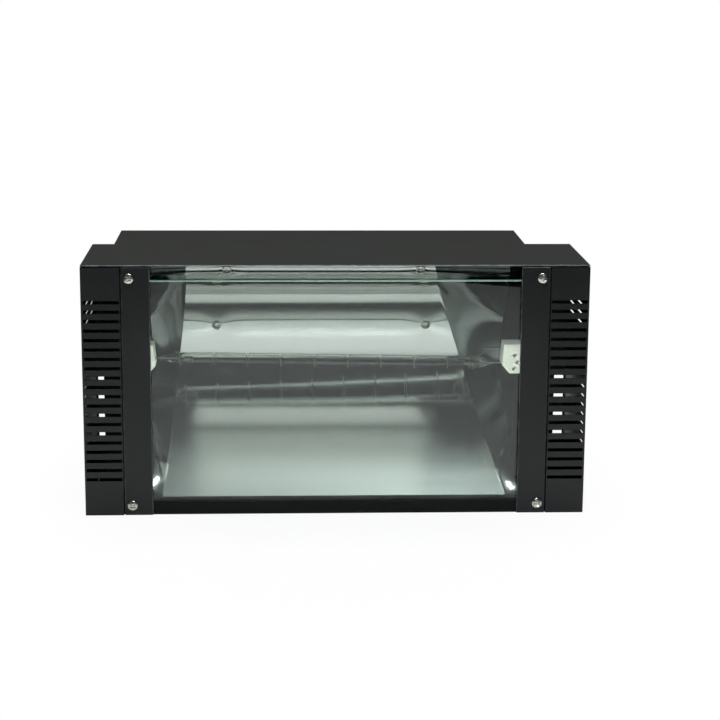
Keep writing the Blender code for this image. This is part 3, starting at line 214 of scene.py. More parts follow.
def mirror_line(count):
    """Depth, height and tilt along the sheet: a brow from upright to the roof's tilt, the straight roof, an
    arc turning from the roof's tilt to the floor's, and the straight floor."""
    turned = BROW_DEPTH + BROW_RADIUS * (1 - math.cos(ROOF_TILT))
    brow_end = np.array((turned, ROOF_EDGE[1] - (turned - ROOF_EDGE[0]) / math.tan(ROOF_TILT)))
    start = MIRROR_AXIS + MIRROR_RADIUS * np.array((math.cos(ROOF_TILT), math.sin(ROOF_TILT)))
    stop = MIRROR_AXIS + MIRROR_RADIUS * np.array((math.cos(FLOOR_TILT), -math.sin(FLOOR_TILT)))
    brow = BROW_RADIUS * ROOF_TILT
    roof = brow + np.linalg.norm(start - brow_end)
    bend = roof + MIRROR_RADIUS * (ROOF_TILT + FLOOR_TILT)
    total = bend + np.linalg.norm(stop - FLOOR_EDGE)
    on_brow = np.linspace(0.0, brow, BROW_ROWS, endpoint=False)
    along = np.concatenate([on_brow, np.linspace(brow, total, count)])
    tilt = np.clip(ROOF_TILT - (along - roof) / MIRROR_RADIUS, -FLOOR_TILT, ROOF_TILT)
    depth = MIRROR_AXIS[0] + MIRROR_RADIUS * np.cos(tilt)
    height = MIRROR_AXIS[1] + MIRROR_RADIUS * np.sin(tilt)
    above = np.maximum(roof - along, 0.0)
    below = np.maximum(along - bend, 0.0)
    depth = depth - above * math.sin(ROOF_TILT) - below * math.sin(FLOOR_TILT)
    height = height + above * math.cos(ROOF_TILT) - below * math.cos(FLOOR_TILT)
    turn = np.minimum(along / BROW_RADIUS, ROOF_TILT)
    depth = np.where(along < brow, BROW_DEPTH + BROW_RADIUS * (1 - np.cos(turn)), depth)
    height = np.where(along < brow, brow_end[1] + BROW_RADIUS * (math.sin(ROOF_TILT) - np.sin(turn)), height)
    return along, depth, height, np.minimum(tilt, turn)


def fold_line(side, height):
    """Where the bent mirror ends and its wing begins: it widens and drifts towards the foot."""
    drop = MIRROR_AXIS[1] - height
    middle = MIRROR_MIDDLE + MIRROR_DRIFT * drop
    return middle + side * (MIRROR_HALF_WIDTH + MIRROR_SPLAY * drop)


def mirror_points(rows, across, wing):
    """A grid of points, row by row: the wing's lift rises evenly from its fold to its free edge, and less
    near the front. The screws dent the sheet by a bell curve, and it sways as thin sheet does."""
    along, depth, height, tilt = mirror_line(rows)
    inward = np.clip((depth - FLOOR_EDGE[0]) / WING_FULL_DEPTH, 0.0, 1.0)
    lift = WING_LIFT * inward * inward * (3 - 2 * inward)
    share = np.clip((MIRROR_AXIS[1] - height) / (MIRROR_AXIS[1] - FLOOR_EDGE[1]), 0.0, 1.0)
    outer = WING_HALF_WIDTH + WING_FLARE * share**2
    left, right = fold_line(-1, height)[:, None], fold_line(1, height)[:, None]
    grow = np.linspace(0.0, 1.0, wing + 1)[None, :]
    middle = left + (right - left) * np.linspace(0.0, 1.0, across)[None, :]
    wing_left = left + (WING_MIDDLE - outer[:, None] - left) * grow[:, :0:-1]
    wing_right = right + (WING_MIDDLE + outer[:, None] - right) * grow[:, 1:]
    x = np.concatenate([wing_left, middle, wing_right], axis=1)
    raised = np.concatenate([grow[:, :0:-1], np.zeros((1, across)), grow[:, 1:]], axis=1)
    raised = raised * lift[:, None]
    dent = np.zeros_like(x)
    for screw_x, screw_height in MIRROR_SCREWS:
        nearest = np.argmin(np.abs(height - screw_height))
        apart = (x - screw_x) ** 2 + (along - along[nearest])[:, None] ** 2
        dent += SCREW_DENT * np.exp(-apart / DENT_REACH**2)
    sway = np.sin(x / 0.031 + 1.3) * np.sin(along / 0.024 + 0.4)[:, None]
    sway = sway + 0.6 * np.sin(x / 0.052 + along[:, None] / 0.019)
    roll = np.sin(along / 0.0037 + 0.8) + 0.7 * np.sin(along / 0.0061 + 2.1)
    off = raised - dent + SWAY * sway + ROLL_MARKS * roll[:, None]
    y = FRONT + depth[:, None] - off * np.cos(tilt)[:, None]
    z = height[:, None] - off * np.sin(tilt)[:, None]
    return np.stack([x, y, z], axis=2)


def grid_piece(name, points, closed=False):
    """A mesh from a grid of points, row by row, with equal points merged. Closed joins the last column to the
    first and turns the faces outwards."""
    rows, columns = points.shape[:2]
    index = np.arange(rows * columns).reshape(rows, columns)
    if closed:
        index = np.concatenate([index, index[:, :1]], axis=1)
    faces = np.stack([index[:-1, :-1], index[:-1, 1:], index[1:, 1:], index[1:, :-1]], axis=2)
    mesh = bpy.data.meshes.new(name)
    mesh.from_pydata(points.reshape(-1, 3).tolist(), [], faces.reshape(-1, 4).tolist())
    body = bmesh.new()
    body.from_mesh(mesh)
    bmesh.ops.remove_doubles(body, verts=body.verts, dist=MERGE_WITHIN / 10)
    smooth(body, SHARP_DEGREES)
    if closed:
        bmesh.ops.recalc_face_normals(body, faces=body.faces)
    body.to_mesh(mesh)
    body.free()
    piece = bpy.data.objects.new(name, mesh)
    bpy.context.scene.collection.objects.link(piece)
    return piece


mirror = grid_piece("reflector_sheet", mirror_points(MIRROR_ROWS, MIRROR_COLUMNS, WING_STEPS))
wall = mirror.modifiers.new("sheet", "SOLIDIFY")
wall.thickness = MIRROR_SHEET
wall.offset = -1.0
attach(mirror, "case")
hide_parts("reflector")

# Bright-rolled aluminium: near mirror, with the faint lines of the mill rolls. Dust dulls it on the floor,
# where its colour is also darkened: painted shade that tones down the lamps' glint.
mill_mirror, tree, shader, place = surface("bright_rolled_aluminium")
stretch = add(tree, "ShaderNodeMapping", {"Vector": place, "Scale": (1 / 0.30, 1 / 0.004, 1 / 0.004)})
lines = add(tree, "ShaderNodeTexNoise", {"Vector": stretch.outputs["Vector"], "Scale": 1.0, "Detail": 3.0})
bump = add(tree, "ShaderNodeBump", {"Height": lines.outputs["Fac"], "Strength": 0.03, "Distance": 0.0003})
rise = add(tree, "ShaderNodeSeparateXYZ", {"Vector": place}).outputs["Z"]
dust_and_painted_shade_heights = {"Value": rise, "From Min": 0.058, "From Max": 0.084, "To Min": 1.0, "To Max": 0.0}
dust = add(tree, "ShaderNodeMapRange", dust_and_painted_shade_heights)
veil = add(tree, "ShaderNodeMath", {0: dust.outputs["Result"], 1: 0.17}, operation="MULTIPLY")
spread = add(tree, "ShaderNodeMapRange", {"Value": lines.outputs["Fac"], "To Min": 0.04, "To Max": 0.09})
haze = add(tree, "ShaderNodeMath", {0: veil.outputs["Value"], 1: spread.outputs["Result"]}, operation="ADD")
# Painted shade: the floor's colour darkens with the dust mask, against the key lamp's glint.
shades = ((0.0, "#e0e2df"), (1.0, "#c0c5c0"))
tint = add(tree, "ShaderNodeValToRGB", {"Fac": dust.outputs["Result"]}, stops=shades)
tree.links.new(tint.outputs["Color"], shader.inputs["Base Color"])
shader.inputs["Metallic"].default_value = 1.0
tree.links.new(haze.outputs["Value"], shader.inputs["Roughness"])
tree.links.new(bump.outputs["Normal"], shader.inputs["Normal"])
coat([mirror], mill_mirror)

# The wings are the same sheet, dulled by handling. Their darker colour, darker still towards the top, is a
# painted reflection of the dark chamber walls beside them.
wing_mirror_painted_dark, tree, shader, place = surface("wing_aluminium_painted_dark_reflection")
stretch = add(tree, "ShaderNodeMapping", {"Vector": place, "Scale": (1 / 0.30, 1 / 0.004, 1 / 0.004)})
lines = add(tree, "ShaderNodeTexNoise", {"Vector": stretch.outputs["Vector"], "Scale": 1.0, "Detail": 3.0})
spread = add(tree, "ShaderNodeMapRange", {"Value": lines.outputs["Fac"], "To Min": 0.08, "To Max": 0.16})
rise = add(tree, "ShaderNodeSeparateXYZ", {"Vector": place}).outputs["Z"]
# Painted reflection: the wings' colour darkens towards the top, standing in for the dark walls they mirror.
painted_dark_rise = add(tree, "ShaderNodeMapRange", {"Value": rise, "From Min": 0.135, "From Max": 0.185})
shades = ((0.0, "#a0a6a4"), (1.0, "#4e5251"))
tint = add(tree, "ShaderNodeValToRGB", {"Fac": painted_dark_rise.outputs["Result"]}, stops=shades)
tree.links.new(tint.outputs["Color"], shader.inputs["Base Color"])
shader.inputs["Metallic"].default_value = 1.0
tree.links.new(spread.outputs["Result"], shader.inputs["Roughness"])
mirror.data.materials.append(wing_mirror_painted_dark)
column = np.arange(len(mirror.data.polygons)) % (MIRROR_COLUMNS - 1 + 2 * WING_STEPS)
on_wing = (column < WING_STEPS) | (column >= MIRROR_COLUMNS - 1 + WING_STEPS)
mirror.data.polygons.foreach_set("material_index", on_wing.astype(np.int32))


# Screws: M4 pan heads with a cross recess, nickel plated steel, 8.4 mm across and 2.4 mm high.
# Four hold the glass strips to the rails, and four hold the reflector to its bar and its hanger.

HEAD_RADIUS = 0.0042
HEAD_HEIGHT = 0.0024
HEAD_FIT = 0.0003
CROSS_ARM = 0.00085
CROSS_REACH = 0.0030
CROSS_DEPTH = 0.0016
DOME_RINGS = 44
STRIP_GRIP = 0.0100
SHEET_GRIP = 0.0022


def screw_points(seat, axis, turn, grip):
    """Rings round the screw's axis: a domed head, cut by a cross whose arms slope inwards, its flat underside
    and its shank, set on a seat with the head facing along the axis."""
    dome = np.linspace(0.0, 0.97, DOME_RINGS)
    rings = np.concatenate([dome, [1.0, 1.0, 0.46, 0.45, 0.45, 0.0]])
    crown = HEAD_FIT + HEAD_HEIGHT * np.concatenate([0.55 + 0.45 * (1 - dome**2.4), [0.52, 0.0, 0.0]])
    crown = np.concatenate([crown, [0.0, -grip, -grip]])
    angle = np.linspace(0.0, 2 * math.pi, 96, endpoint=False)
    u = HEAD_RADIUS * rings[:, None] * np.cos(angle)[None, :]
    v = HEAD_RADIUS * rings[:, None] * np.sin(angle)[None, :]
    p = u * math.cos(turn) + v * math.sin(turn)
    q = v * math.cos(turn) - u * math.sin(turn)
    arm = np.minimum(np.abs(p), np.abs(q))
    reach = np.maximum(np.abs(p), np.abs(q))
    cut = np.clip((CROSS_ARM - arm) / 0.00022, 0.0, 1.0) * np.clip((CROSS_REACH - reach) / 0.0011, 0.0, 1.0)
    w = crown[:, None] - CROSS_DEPTH * cut * (np.arange(len(rings)) < DOME_RINGS)[:, None]
    out = np.array(axis) / np.linalg.norm(axis)
    aside = np.cross(out, (0.31, 0.13, 0.94))
    aside /= np.linalg.norm(aside)
    across = np.cross(out, aside)
    return np.array(seat) + u[..., None] * aside + v[..., None] * across + w[..., None] * out


rng = np.random.default_rng(5)
screws = []
for side, word in ((-1, "left"), (1, "right")):
    for level in ("upper", "lower"):
        node = f"strip_screw_{level}_{word}"
        low, high = np.array(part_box(node))
        seat = ((low[0] + high[0]) / 2, FRONT, (low[2] + high[2]) / 2)
        screws.append((node, screw_points(seat, (0, -1, 0), rng.uniform(0, 1.5), STRIP_GRIP)))
    for first, level in ((0, "back"), (2, "roof")):
        node = f"reflector_screw_{level}_{word}"
        screw_x, screw_height = MIRROR_SCREWS[first + (side > 0)]
        along, depth, height, tilt = mirror_line(4000)
        row = np.argmin(np.abs(height - screw_height))
        axis = np.array((0.0, -math.cos(tilt[row]), -math.sin(tilt[row])))
        seat = np.array((screw_x, FRONT + depth[row], height[row])) - SCREW_DENT * axis
        screws.append((node, screw_points(seat, axis, rng.uniform(0, 1.5), SHEET_GRIP)))
nickel_pieces = []
for node, points in screws:
    piece = grid_piece(f"{node}_head", points, closed=True)
    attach(piece, "case")
    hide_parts(node)
    nickel_pieces.append(piece)

# Bright nickel plate: warm white metal, slightly dulled by handling.
nickel, tree, shader, place = surface("bright_nickel_plate")
dull = add(tree, "ShaderNodeTexNoise", {"Vector": place, "Scale": 1 / 0.002, "Detail": 3.0})
gloss = add(tree, "ShaderNodeMapRange", {"Value": dull.outputs["Fac"], "To Min": 0.22, "To Max": 0.36})
shades = ((0.3, "#d8d6ca"), (0.7, "#ecebe2"))
tint = add(tree, "ShaderNodeValToRGB", {"Fac": dull.outputs["Fac"]}, stops=shades)
tree.links.new(tint.outputs["Color"], shader.inputs["Base Color"])
shader.inputs["Metallic"].default_value = 1.0
tree.links.new(gloss.outputs["Result"], shader.inputs["Roughness"])
coat(nickel_pieces, nickel)


# Lamp sockets: pressed steatite terminal blocks, 18 x 22 x 26 mm, with lead bores and three screw wells.
# They are unglazed, so they are matt off-white with faint grey flecks.

sockets = [eased(f"lamp_socket_{side}", 0.0005) for side in ("left", "right")]
steatite, tree, shader, place = surface("pressed_steatite")
fleck = add(tree, "ShaderNodeTexNoise", {"Vector": place, "Scale": 1 / 0.0016, "Detail": 4.0})
bump = add(tree, "ShaderNodeBump", {"Height": fleck.outputs["Fac"], "Strength": 0.05, "Distance": 0.0002})
shades = ((0.30, "#e2e5d6"), (0.60, "#f0f2e6"))
tint = add(tree, "ShaderNodeValToRGB", {"Fac": fleck.outputs["Fac"]}, stops=shades)
tree.links.new(tint.outputs["Color"], shader.inputs["Base Color"])
tree.links.new(bump.outputs["Normal"], shader.inputs["Normal"])
shader.inputs["Roughness"].default_value = 0.62
coat(sockets, steatite)


# Flash tube: a drawn quartz tube 295 mm long, 9.8 mm across with a 1 mm wall, necked down and sealed on a
# lead at each end. It hangs between the sockets on its leads and leans by one degree. A thin trigger wire is
# wound on it.

LAMP_X = -0.0045
LAMP = np.array((LAMP_X, FRONT + 0.055, 0.1242))
LAMP_LEAN = math.radians(1.0)
TUBE_RADIUS = 0.0049
TUBE_HALF = 0.1475
TUBE_WALL = 0.0010
NECK_RADIUS = 0.0026
SEAL_RADIUS = 0.0009
WIRE_RADIUS = 0.00028
WIRE_REACH = TUBE_RADIUS + 0.0003 + WIRE_RADIUS
WIRE_BEND = 0.0012
LOOP_START = -0.1360
LOOP_PITCH = 0.0293
LOOP_COUNT = 9
LOOP_ADVANCE = 0.0030
END_COIL = (0.1180, 4, 0.0016)
SOCKET_FACE = 0.1515
LEAD_DEPTH = 0.004
LEAD_HEIGHT = 0.0125


def leaned(points):
    """Points about the lamp's middle, tipped about Y by the lean and moved to the lamp."""
    x, y, z = np.moveaxis(points, -1, 0)
    cosine, sine = math.cos(LAMP_LEAN), math.sin(LAMP_LEAN)
    return np.stack([x * cosine + z * sine, y, z * cosine - x * sine], axis=-1) + LAMP


def turned_points(along, radius, steps):
    """Rings of a radius at each place along the lamp's axis."""
    angle = np.linspace(0.0, 2 * math.pi, steps, endpoint=False)
    ring = np.stack([np.zeros(steps), np.cos(angle), np.sin(angle)], axis=1)
    points = np.array(radius)[:, None, None] * ring[None]
    points[..., 0] += np.array(along)[:, None]
    return points


def tube_outline():
    """Half of the tube's wall as pairs of place and radius: outside to the neck and the seal, then back along
    the inside. Both necks follow a smooth step."""
    blend = np.linspace(0.0, 1.0, 15)
    ease = blend * blend * (3 - 2 * blend)
    neck = TUBE_RADIUS - (TUBE_RADIUS - NECK_RADIUS) * ease
    bore = SEAL_RADIUS + (TUBE_RADIUS - TUBE_WALL - SEAL_RADIUS) * ease
    outside = np.stack([TUBE_HALF - 0.016 + 0.012 * blend, neck], axis=1)
    seal = np.array([(0.1462, 0.0024), (0.1470, 0.0020), (TUBE_HALF, 0.0010), (0.1472, SEAL_RADIUS)])
    inside = np.stack([TUBE_HALF - 0.006 - 0.010 * blend, bore], axis=1)
    return np.concatenate([outside, seal, inside])


half_wall = tube_outline()
wall_line = np.concatenate([half_wall, half_wall[::-1] * (-1, 1), half_wall[:1]])
tube_points = leaned(turned_points(wall_line[:, 0], wall_line[:, 1], 48))
tube = grid_piece("flash_tube_quartz", tube_points, closed=True)
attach(tube, "case")
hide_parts("flash_tube")

# Quartz glass: clear and fire polished. It lets lamps through, so that the mirror behind it stays lit.
quartz, tree, shader, place = surface("clear_quartz_glass")
shader.inputs["Base Color"].default_value = linear("#f6fbf8")
shader.inputs["Roughness"].default_value = 0.0
shader.inputs["IOR"].default_value = 1.46
shader.inputs["Transmission Weight"].default_value = 1.0
clear = add(tree, "ShaderNodeBsdfTransparent", {"Color": linear("#f4faf6")})
passing = add(tree, "ShaderNodeLightPath").outputs["Is Shadow Ray"]
both = add(tree, "ShaderNodeMixShader", {0: passing, 1: shader.outputs["BSDF"], 2: clear.outputs["BSDF"]})
tree.links.new(both.outputs["Shader"], tree.nodes["Material Output"].inputs["Surface"])
coat([tube], quartz)


def wire_plan():
    """The trigger wire laid flat: place along the tube and distance round it, with small quarter-circle bends
    into and out of each loop."""
    girth = 2 * math.pi * WIRE_REACH
    corner = WIRE_BEND
    swing = np.linspace(-math.pi / 2, 0.0, 9)
    bend_in = np.stack([corner * np.cos(swing) - corner, corner + corner * np.sin(swing)], axis=1)
    swing = np.linspace(math.pi, math.pi / 2, 9)
    bend_out = np.stack([corner + corner * np.cos(swing), corner * np.sin(swing) - corner], axis=1)
    plan = [np.array([(LOOP_START - 2.5 * corner, 0.0)])]
    gone = 0.0
    loops = [(LOOP_START + LOOP_PITCH * index, 1, LOOP_ADVANCE) for index in range(LOOP_COUNT)]
    for along, count, advance in (*loops, END_COIL):
        first = bend_in + (along, gone)
        gone += count * girth
        last = bend_out + (along + count * advance, gone)
        share = np.linspace(0.0, 1.0, 48 * count)[1:-1, None]
        plan += [first, first[-1] + (last[0] - first[-1]) * share, last]
    return np.concatenate(plan)


def wire_path():
    """The flat plan rolled round the tube, then a lead that eases up and runs into the right socket."""
    plan = wire_plan()
    turn = plan[:, 1] / WIRE_REACH
    points = np.stack([plan[:, 0], -WIRE_REACH * np.sin(turn), WIRE_REACH * np.cos(turn)], axis=1)
    share = np.linspace(0.0, 1.0, 60)[1:]
    ease = np.clip((share - 0.03) / 0.27, 0.0, 1.0)
    ease = ease * ease * (3 - 2 * ease)
    span = SOCKET_FACE + LAMP_X + LEAD_DEPTH - points[-1, 0]
    climb = points[-1, 2] + (LEAD_HEIGHT - WIRE_REACH) * ease
    lead = np.stack([points[-1, 0] + span * share, 0.0 * share, climb], axis=1)
    return np.concatenate([points, lead]) - (LAMP_X, 0.0, 0.0)


def swept_points(path, radius, steps):
    """Rings square to a path, turned as little as they can be from point to point, with closed ends."""
    ahead = np.gradient(path, axis=0)
    ahead /= np.linalg.norm(ahead, axis=1)[:, None]
    side = np.cross(ahead[0], (0.0, 0.0, 1.0))
    sides = [side / np.linalg.norm(side)]
    for now in ahead[1:]:
        side = sides[-1] - now * np.dot(sides[-1], now)
        sides.append(side / np.linalg.norm(side))
    sides = np.array(sides)
    ups = np.cross(ahead, sides)
    angle = np.linspace(0.0, 2 * math.pi, steps, endpoint=False)
    rings = np.cos(angle)[None, :, None] * sides[:, None] + np.sin(angle)[None, :, None] * ups[:, None]
    points = path[:, None] + radius * rings
    ends = np.broadcast_to(path[[0, -1], None], (2, steps, 3))
    return np.concatenate([ends[:1], points, ends[1:]])


wire = grid_piece("trigger_wire_wound", leaned(swept_points(wire_path(), WIRE_RADIUS, 8)), closed=True)
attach(wire, "case")
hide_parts("trigger_wire")

# Bare nichrome wire, 0.56 mm: drawn, pale and a little dull.
nichrome, tree, shader, place = surface("drawn_nichrome_wire")
tarnish = add(tree, "ShaderNodeTexNoise", {"Vector": place, "Scale": 1 / 0.006, "Detail": 2.0})
shades = ((0.3, "#b9b4a2"), (0.7, "#dcd8c8"))
tint = add(tree, "ShaderNodeValToRGB", {"Fac": tarnish.outputs["Fac"]}, stops=shades)
tree.links.new(tint.outputs["Color"], shader.inputs["Base Color"])
shader.inputs["Metallic"].default_value = 1.0
shader.inputs["Roughness"].default_value = 0.30
coat([wire], nichrome)

# Electrodes: sintered tungsten on a drawn lead, grey and dull.
electrodes = [eased(f"electrode_{side}", 0.0, angle=50) for side in ("left", "right")]
tungsten, tree, shader, place = surface("sintered_tungsten")
grit = add(tree, "ShaderNodeTexNoise", {"Vector": place, "Scale": 1 / 0.0008, "Detail": 3.0})
shades = ((0.3, "#8d8b86"), (0.7, "#b4b1aa"))
tint = add(tree, "ShaderNodeValToRGB", {"Fac": grit.outputs["Fac"]}, stops=shades)
tree.links.new(tint.outputs["Color"], shader.inputs["Base Color"])
shader.inputs["Metallic"].default_value = 1.0
shader.inputs["Roughness"].default_value = 0.42
coat(electrodes, tungsten)


# Front glass: 4 mm toughened float glass, standing in the lip and held by the strips, with ground edges.
# The gaskets behind the strips are dull black silicone.

GLASS_ARRIS = 0.0011


def slab_points(low, high, arris):
    """A plate as rings round its height: a square ring with cut corners, drawn in by the arris at top and
    bottom."""
    left, right = low[0] + arris, high[0] - arris
    front, back = low[1] + arris, high[1] - arris
    x = np.array((left, right, high[0], high[0], right, left, low[0], low[0]))
    y = np.array((low[1], low[1], front, back, high[1], high[1], back, front))
    middle = np.array(((low[0] + high[0]) / 2, (low[1] + high[1]) / 2))
    rings = []
    for z, inset in ((low[2], arris), (low[2] + arris, 0.0), (high[2] - arris, 0.0), (high[2], arris)):
        ring_x = np.clip(x, low[0] + inset, high[0] - inset)
        ring_y = np.clip(y, low[1] + inset, high[1] - inset)
        rings.append(np.stack([ring_x, ring_y, np.full(len(x), z)], axis=1))
    caps = [np.broadcast_to((*middle, z), (len(x), 3)) for z in (low[2], high[2])]
    return np.stack([caps[0], *rings, caps[1]])


glass_low, glass_high = np.array(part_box("front_glass"))
glass = grid_piece("front_glass_plate", slab_points(glass_low, glass_high, GLASS_ARRIS), closed=True)
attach(glass, "case")
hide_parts("front_glass")

# Float glass: clear, with the green of its iron, which lets lamps through to the reflector.
float_glass, tree, shader, place = surface("clear_float_glass")
shader.inputs["Base Color"].default_value = linear("#fbfdfc")
shader.inputs["Roughness"].default_value = 0.0
shader.inputs["IOR"].default_value = 1.52
shader.inputs["Transmission Weight"].default_value = 1.0
clear = add(tree, "ShaderNodeBsdfTransparent", {"Color": linear("#f6fbf8")})
passing = add(tree, "ShaderNodeLightPath").outputs["Is Shadow Ray"]
both = add(tree, "ShaderNodeMixShader", {0: passing, 1: shader.outputs["BSDF"], 2: clear.outputs["BSDF"]})
tree.links.new(both.outputs["Shader"], tree.nodes["Material Output"].inputs["Surface"])
coat([glass], float_glass)

# Ground edges: the same glass, matt and green where one looks along the plate.
ground_edge, tree, shader, place = surface("ground_glass_edge")
grind = add(tree, "ShaderNodeTexNoise", {"Vector": place, "Scale": 1 / 0.003, "Detail": 2.0})
shades = ((0.3, "#7fc09e"), (0.7, "#b9e2cd"))
tint = add(tree, "ShaderNodeValToRGB", {"Fac": grind.outputs["Fac"]}, stops=shades)
tree.links.new(tint.outputs["Color"], shader.inputs["Base Color"])
shader.inputs["Roughness"].default_value = 0.28
shader.inputs["Transmission Weight"].default_value = 0.15
glass.data.materials.append(ground_edge)
facing = np.empty(len(glass.data.polygons) * 3)
glass.data.polygons.foreach_get("normal", facing)
on_edge = np.abs(facing.reshape(-1, 3)[:, 1]) < 0.9
glass.data.polygons.foreach_set("material_index", on_edge.astype(np.int32))

gaskets = [eased(f"glass_gasket_{side}", 0.0002) for side in ("left", "right")]
silicone, tree, shader, place = surface("dull_black_silicone")
dust = add(tree, "ShaderNodeTexNoise", {"Vector": place, "Scale": 1 / 0.004, "Detail": 2.0})
shades = ((0.3, "#161717"), (0.7, "#202121"))
tint = add(tree, "ShaderNodeValToRGB", {"Fac": dust.outputs["Fac"]}, stops=shades)
tree.links.new(tint.outputs["Color"], shader.inputs["Base Color"])
shader.inputs["Roughness"].default_value = 0.75
coat(gaskets, silicone)


# Front: two strips that clamp the glass, and outside them the vent panels with twenty slots each.
# Both are the case's steel and coat.

front_sheets = [eased(f"glass_strip_{side}", 0.0005, worn_and_highlit=True) for side in ("left", "right")]
front_sheets += [eased(f"vent_panel_{side}", 0.0004, worn_and_highlit=True) for side in ("left", "right")]
coat(front_sheets, powder_coat)
coat(front_sheets, worn_and_highlit_coat)


# Yoke: a flat steel bar of 30 x 3 mm, bent twice and drilled with a hanging hole, coated as the case.
# It turns on the bolts of the two clamp knobs, which are moulded and follow with the rear fittings.

yoke = eased("yoke", 0.0006, worn_and_highlit=True)
coat([yoke], powder_coat)
coat([yoke], worn_and_highlit_coat)


# Rear fittings: moulded black plastic inlet, fuse holder, data sockets, fan, clamp knobs and control knobs,
# a red switch block with white levers, and zinc plated potentiometers.

fittings = ("power_inlet", "fuse_holder", "dmx_input", "dmx_output", "fan_frame")
knobs = ("clamp_knob_left", "clamp_knob_right", "speed_knob", "dimmer_knob")
moulded = [eased(node, 0.0003) for node in fittings]
moulded += [eased(node, 0.0004) for node in knobs]
moulded.append(eased("fan_rotor", 0.0))
black_plastic, tree, shader, place = surface("moulded_black_nylon")
grain = add(tree, "ShaderNodeTexNoise", {"Vector": place, "Scale": 1 / 0.0009, "Detail": 2.0})
bump = add(tree, "ShaderNodeBump", {"Height": grain.outputs["Fac"], "Strength": 0.15, "Distance": 0.0001})
shades = ((0.3, "#161617"), (0.7, "#1e1e20"))
tint = add(tree, "ShaderNodeValToRGB", {"Fac": grain.outputs["Fac"]}, stops=shades)
tree.links.new(tint.outputs["Color"], shader.inputs["Base Color"])
tree.links.new(bump.outputs["Normal"], shader.inputs["Normal"])
shader.inputs["Roughness"].default_value = 0.46
coat(moulded, black_plastic)

red_block, tree, shader, place = surface("moulded_red_plastic")
grain = add(tree, "ShaderNodeTexNoise", {"Vector": place, "Scale": 1 / 0.001, "Detail": 2.0})
shades = ((0.3, "#8f1a16"), (0.7, "#a5211b"))
tint = add(tree, "ShaderNodeValToRGB", {"Fac": grain.outputs["Fac"]}, stops=shades)
tree.links.new(tint.outputs["Color"], shader.inputs["Base Color"])
shader.inputs["Roughness"].default_value = 0.4
coat([eased("dip_switch", 0.0)], red_block)

white_lever, tree, shader, place = surface("moulded_white_plastic")
grain = add(tree, "ShaderNodeTexNoise", {"Vector": place, "Scale": 1 / 0.001, "Detail": 2.0})
shades = ((0.3, "#dcdcd8"), (0.7, "#e8e8e4"))
tint = add(tree, "ShaderNodeValToRGB", {"Fac": grain.outputs["Fac"]}, stops=shades)
tree.links.new(tint.outputs["Color"], shader.inputs["Base Color"])
shader.inputs["Roughness"].default_value = 0.45
coat([eased(f"dip_lever_{way:02d}", 0.0001) for way in range(1, 11)], white_lever)

zinc, tree, shader, place = surface("zinc_plated_steel")
spangle = add(tree, "ShaderNodeTexNoise", {"Vector": place, "Scale": 1 / 0.002, "Detail": 2.0})
shades = ((0.3, "#9a9c9d"), (0.7, "#b5b7b8"))
tint = add(tree, "ShaderNodeValToRGB", {"Fac": spangle.outputs["Fac"]}, stops=shades)
tree.links.new(tint.outputs["Color"], shader.inputs["Base Color"])
shader.inputs["Metallic"].default_value = 1.0
shader.inputs["Roughness"].default_value = 0.35
coat([eased(node, 0.0002) for node in ("speed_pot", "dimmer_pot")], zinc)


# Rear screws: six hold the rear panel to the cover's flanges, four the fan and two each data socket.
# They are smaller pan heads of the same make and plating as those in front.

REAR_FACE = 0.110
PANEL_SCREW_INSET = 0.008
FAN_SCREW_INSET = 0.005
SOCKET_SCREW_INSET = 0.0035
SMALL_HEAD = 0.68
SHORT_GRIP = 0.0010
rear_seats = []
low, high = np.array(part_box("rear_panel"))
for across in (low[0] + PANEL_SCREW_INSET, (low[0] + high[0]) / 2, high[0] - PANEL_SCREW_INSET):
    for level in (low[2] + PANEL_SCREW_INSET, high[2] - PANEL_SCREW_INSET):
        rear_seats.append(("panel_screw", (across, REAR_FACE, level)))
low, high = np.array(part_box("fan_frame"))
for across in (low[0] + FAN_SCREW_INSET, high[0] - FAN_SCREW_INSET):
    for level in (low[2] + FAN_SCREW_INSET, high[2] - FAN_SCREW_INSET):
        rear_seats.append(("fan_screw", (across, REAR_FACE, level)))
for node in ("dmx_input", "dmx_output"):
    low, high = np.array(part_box(node))
    first, last = low + SOCKET_SCREW_INSET, high - SOCKET_SCREW_INSET
    rear_seats.append((f"{node}_screw", (first[0], high[1], first[2])))
    rear_seats.append((f"{node}_screw", (last[0], high[1], last[2])))
rear_screws = []
for count, (name, seat) in enumerate(rear_seats, 1):
    points = screw_points(seat, (0, 1, 0), rng.uniform(0, 1.5), SHORT_GRIP)
    piece = grid_piece(f"{name}_{count:02d}", np.array(seat) + SMALL_HEAD * (points - seat), closed=True)
    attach(piece, "case")
    rear_screws.append(piece)
coat(rear_screws, nickel)


# Inside the rear box, out of sight: the driver board, the storage capacitor and the trigger coil.
# The board is green glass laminate, the capacitor wears a shrink sleeve, and the coil is varnished.

board, tree, shader, place = surface("green_circuit_board")
weave = add(tree, "ShaderNodeTexChecker", {"Vector": place, "Scale": 1 / 0.0012})
shades = ((0.0, "#1f5a35"), (1.0, "#235f3a"))
tint = add(tree, "ShaderNodeValToRGB", {"Fac": weave.outputs["Fac"]}, stops=shades)
tree.links.new(tint.outputs["Color"], shader.inputs["Base Color"])
shader.inputs["Roughness"].default_value = 0.4
coat([eased("control_board", 0.0002)], board)

sleeve, tree, shader, place = surface("shrink_sleeve_blue")
wrinkle = add(tree, "ShaderNodeTexNoise", {"Vector": place, "Scale": 1 / 0.008, "Detail": 2.0})
shades = ((0.3, "#1b2c57"), (0.7, "#22366a"))
tint = add(tree, "ShaderNodeValToRGB", {"Fac": wrinkle.outputs["Fac"]}, stops=shades)
tree.links.new(tint.outputs["Color"], shader.inputs["Base Color"])
shader.inputs["Roughness"].default_value = 0.28
coat([eased("storage_capacitor", 0.0008)], sleeve)

